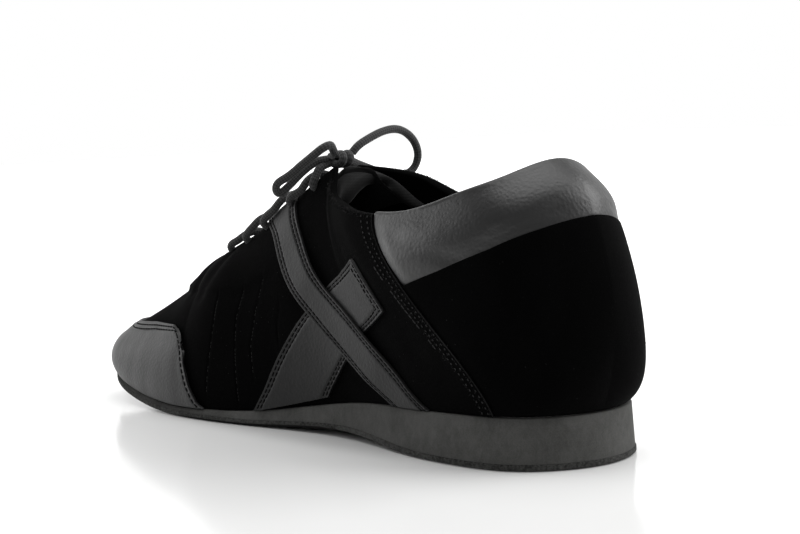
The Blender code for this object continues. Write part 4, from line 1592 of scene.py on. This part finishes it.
def smoothPath(points, step):
    # even steps along a smooth curve through (n, 3) points
    points = np.asarray(points, float)
    chord = runLength(points.T)
    dense = np.linspace(0, chord[-1], 40 * len(points))
    path = np.array([curve(chord, points[:, k], dense) for k in range(3)])
    total = runLength(path)
    even = np.linspace(0, total[-1], max(int(total[-1] / step), 8))
    return onPath(path, total, even).T


def layCord(name, path, radius):
    run = np.gradient(path, axis=0)
    run /= np.linalg.norm(run, axis=1)[:, None]
    across = np.cross(run[0], (0.3, 0.2, 1.0))
    turns = np.linspace(0, 2 * np.pi, lace["sides"] + 1)
    rings = []
    for point, ahead in zip(path, run):
        across = across - ahead * (across @ ahead)
        across /= np.linalg.norm(across)
        high = np.cross(ahead, across)
        rings.append(point + radius * (np.outer(np.cos(turns), across) + np.outer(np.sin(turns), high)))
    points = np.array(rings).transpose(2, 0, 1)
    piece = layGrid(name, points)
    length = runLength(path.T)
    u = np.repeat(length[:, None] / lace["braidLength"], len(turns), axis=1)
    v = np.repeat((turns / (2 * np.pi))[None, :], len(path), axis=0)
    setUv(piece, u, v)
    piece = closeUp(piece, fill=True)
    smooth(piece, 60)
    return piece, length[-1]


def overLift(along):
    # the lace's middle over the facings, higher where a strap's end lies under it
    onStrap = falling(abs(along - lace["strapAt"]), *lace["strapReach"])
    return lace["over"] + lace["strapLift"] * float(onStrap)


def throughHole(along, side):
    # up through a hole, as (along, across, offset) rows
    return [
        (along - 0.002, 0.8 * side, lace["under"]),
        (along, 0.97 * side, lace["under"] + 0.6),
        (along, 1.0 * side, -1.2),
        (along + 0.001, 0.99 * side, overLift(along) - 0.7),
        (along + 0.007, 0.92 * side, overLift(along) + 0.1),
    ]


def crossing(low, high, side, over):
    # over one facing's rim, across the throat and in under the other facing
    way = high - low
    middle = 0.9 if over else -1.3
    return [
        (low + 0.36 * way, 0.74 * side, overLift(low + 0.36 * way) + 0.1),
        (low + 0.56 * way, 0.46 * side, overLift(low + 0.56 * way) + 0.2),
        (low + 0.72 * way, 0.0, middle),
        (low + 0.86 * way, -0.34 * side, -3.6),
        (high - 0.06 * way, -0.58 * side, lace["under"]),
    ]


def lacePath(side, first):
    # one half of the lace: from the middle of the lowest bar, hidden under the facings, up to the knot
    low = lace["rows"][0]
    places = [(low, -0.12 * side if first else 0.12 * side, -4.0), (low, 0.45 * side, lace["under"])]
    places += throughHole(low, side)
    for k, (lower, higher) in enumerate(zip(lace["rows"], lace["rows"][1:])):
        places += crossing(lower, higher, side, (k % 2 == 0) == first)
        side = -side
        places += throughHole(higher, side)
    top = lace["rows"][-1]
    places += [
        (top + 0.009, 0.7 * side, lace["over"] + 0.2),
        (top + 0.011, 0.46 * side, lace["over"] + 0.6),
        (top + 0.012, 0.22 * side, 2.6),
        (top + 0.013, 0.06 * side, 3.0),
    ]
    along, across, offset = np.array(places).T
    return roofPoint(along, across, offset, lace["reach"]).T


halves = []
for side, first in ((inner, True), (outer, False)):
    path = smoothPath(lacePath(side, first), lace["step"])
    piece, _ = layCord("lace_strand_" + ("inner" if first else "outer"), path, lace["radius"])
    halves.append(piece)
dress(halves[0], "lace_braid", [braid], "lace")
dress(halves[1], "lace_braid", [braid])

turns = np.linspace(0, 2 * np.pi * knot["turns"], 70)
wrap = np.stack(
    [
        knot["centre"][0] + knot["halfX"] * np.cos(turns + 0.8),
        knot["centre"][1] + knot["halfY"] * (turns / turns[-1] * 2 - 1),
        knot["centre"][2] + knot["halfZ"] * np.sin(turns + 0.8),
    ],
    axis=1,
)
knotPiece, _ = layCord("bow_knot", smoothPath(wrap, lace["step"]), lace["radius"])
dress(knotPiece, "lace_braid", [braid], "lace_knot")

for name, node, table in (
    ("bow_loop_inner", "lace_loop_inner", loopInner),
    ("bow_loop_outer", "lace_loop_outer", loopOuter),
):
    path = smoothPath(np.array([table["x"], table["y"], table["z"]]).T, lace["step"])
    piece, length = layCord(name, path, lace["radius"])
    dress(piece, "lace_braid", [braid], node)
    length * mm
    print(name, "is", round(length), "mm long")
print("lace made")


# Floor, light and camera

stage = {
    "floor": 8.0,
    "room": 0.3,
    "backdrop": (9.0, 3.0),
    "backdropAway": 3.2,
    "glowNear": 0.07,
    "glowFar": 0.85,
    "glowFrom": -0.2,
    "glowTo": 1.1,
    "shadowPatch": (6.2, 17.0, 0.0),
    "shadowPatchEdge": (0.7, 1.0),
}
softboxes = (
    ("top_softbox", 12.0, (1.2, 1.2), (0.0, 0.0, 1.4)),
    ("heel_softbox", 18.0, (1.3, 1.1), (-0.77, -0.98, 0.84)),
    ("toe_softbox", 4.5, (1.1, 0.8), (1.24, 0.71, 0.46)),
)
view = {
    "azimuth": 53.0,
    "elevation": 5.9,
    "away": 720.0,
    "target": (140.0, 0.0, 50.0),
    "focalPixels": 1826.5,
    "middle": (349.0, 294.3),
    "roll": -2.5,
    "image": (800, 534),
    "sensor": 36.0,
}


def behindShoe():
    turn = math.radians(view["azimuth"])
    return Vector((math.sin(turn), -math.cos(turn), 0.0))


def makeFloor():
    bpy.ops.object.select_all(action="DESELECT")
    bpy.ops.mesh.primitive_plane_add(size=stage["floor"])
    floor = bpy.context.object
    floor.name = "pale_floor"
    # a glossy white table that fades into the white behind it; its emission is painted light, brighter
    # further behind the shoe
    paint = Paint("pale_floor", **{"Base Color": (0.9, 0.9, 0.895, 1.0), "Specular IOR Level": 0.26})
    paint.set(Roughness=0.12 + paint.noise(3.0) * 0.04, Emission_Strength=1.0)
    away = paint.vector("DOT_PRODUCT", paint.place, behindShoe())
    share = away.between(stage["glowFrom"], stage["glowTo"])
    glow = paint.colour(share, (stage["glowNear"],) * 3, (stage["glowFar"],) * 3)
    # no emission in an ellipse round the shoe: a painted contact shadow on the floor
    shadowPatch = paint.vector("LENGTH", paint.stretched(*stage["shadowPatch"]))
    beyondShadowPatch = shadowPatch.between(*stage["shadowPatchEdge"])
    paint.set(Emission_Color=paint.colour(beyondShadowPatch, (0.0, 0.0, 0.0), glow))
    floor.data.materials.append(paint.material)


def makeBackdrop():
    behind = behindShoe()
    bpy.ops.object.select_all(action="DESELECT")
    bpy.ops.mesh.primitive_plane_add(size=1)
    card = bpy.context.object
    card.name = "white_backdrop"
    card.scale = (*stage["backdrop"], 1.0)
    card.rotation_euler = (-behind).to_track_quat("Z", "Y").to_euler()
    card.location = behind * stage["backdropAway"] + Vector((0.0, 0.0, stage["backdrop"][1] / 2))
    bpy.ops.object.transform_apply(location=True, rotation=True, scale=True)
    paint = Paint("white_backdrop", **{"Emission Strength": 0.5, "Specular IOR Level": 0.0})
    paint.set(Emission_Color=(1.0, 1.0, 1.0, 1.0))
    card.data.materials.append(paint.material)
    card.visible_camera = False


def addSoftbox(name, power, size, place, aim):
    lamp = bpy.data.lights.new(name, "AREA")
    lamp.energy = power
    lamp.shape = "RECTANGLE"
    lamp.size, lamp.size_y = size
    box = bpy.data.objects.new(name, lamp)
    bpy.context.scene.collection.objects.link(box)
    box.location = place
    box.rotation_euler = (Vector(aim) - Vector(place)).to_track_quat("-Z", "Y").to_euler()


def makeCamera():
    a, e = math.radians(view["azimuth"]), math.radians(view["elevation"])
    back = Vector((-math.sin(a) * math.cos(e), math.cos(a) * math.cos(e), math.sin(e)))
    target = Vector(toFrame(view["target"]))
    lens = bpy.data.cameras.new("camera")
    camera = bpy.data.objects.new("camera", lens)
    bpy.context.scene.collection.objects.link(camera)
    camera.location = target + back * view["away"] * mm
    turn = (-back).to_track_quat("-Z", "Y").to_matrix().to_4x4()
    camera.rotation_euler = (turn @ Matrix.Rotation(math.radians(view["roll"]), 4, "Z")).to_euler()
    lens.sensor_width = view["sensor"]
    lens.lens = view["focalPixels"] * view["sensor"] / view["image"][0]
    lens.shift_x = (view["image"][0] / 2 - view["middle"][0]) / view["image"][0]
    lens.shift_y = (view["middle"][1] - view["image"][1] / 2) / view["image"][0]
    lens.clip_start = 0.01
    bpy.context.scene.camera = camera


def makeRoom():
    # white for the camera, dimmer as a light
    world = bpy.data.worlds.new("white_room")
    world.use_nodes = True
    tree = world.node_tree
    room, white = tree.nodes["Background"], tree.nodes.new("ShaderNodeBackground")
    room.inputs["Strength"].default_value = stage["room"]
    for shade in (room, white):
        shade.inputs["Color"].default_value = (1.0, 1.0, 1.0, 1.0)
    rayKind = tree.nodes.new("ShaderNodeLightPath")
    choose = tree.nodes.new("ShaderNodeMixShader")
    tree.links.new(rayKind.outputs["Is Camera Ray"], choose.inputs["Fac"])
    tree.links.new(room.outputs["Background"], choose.inputs[1])
    tree.links.new(white.outputs["Background"], choose.inputs[2])
    tree.links.new(choose.outputs["Shader"], tree.nodes["World Output"].inputs["Surface"])
    bpy.context.scene.world = world
    bpy.context.scene.view_settings.view_transform = "Standard"


makeFloor()
makeBackdrop()
makeRoom()
for name, power, size, place in softboxes:
    addSoftbox(name, power, size, place, (0.0, 0.0, 0.05))
makeCamera()
print("stage set")
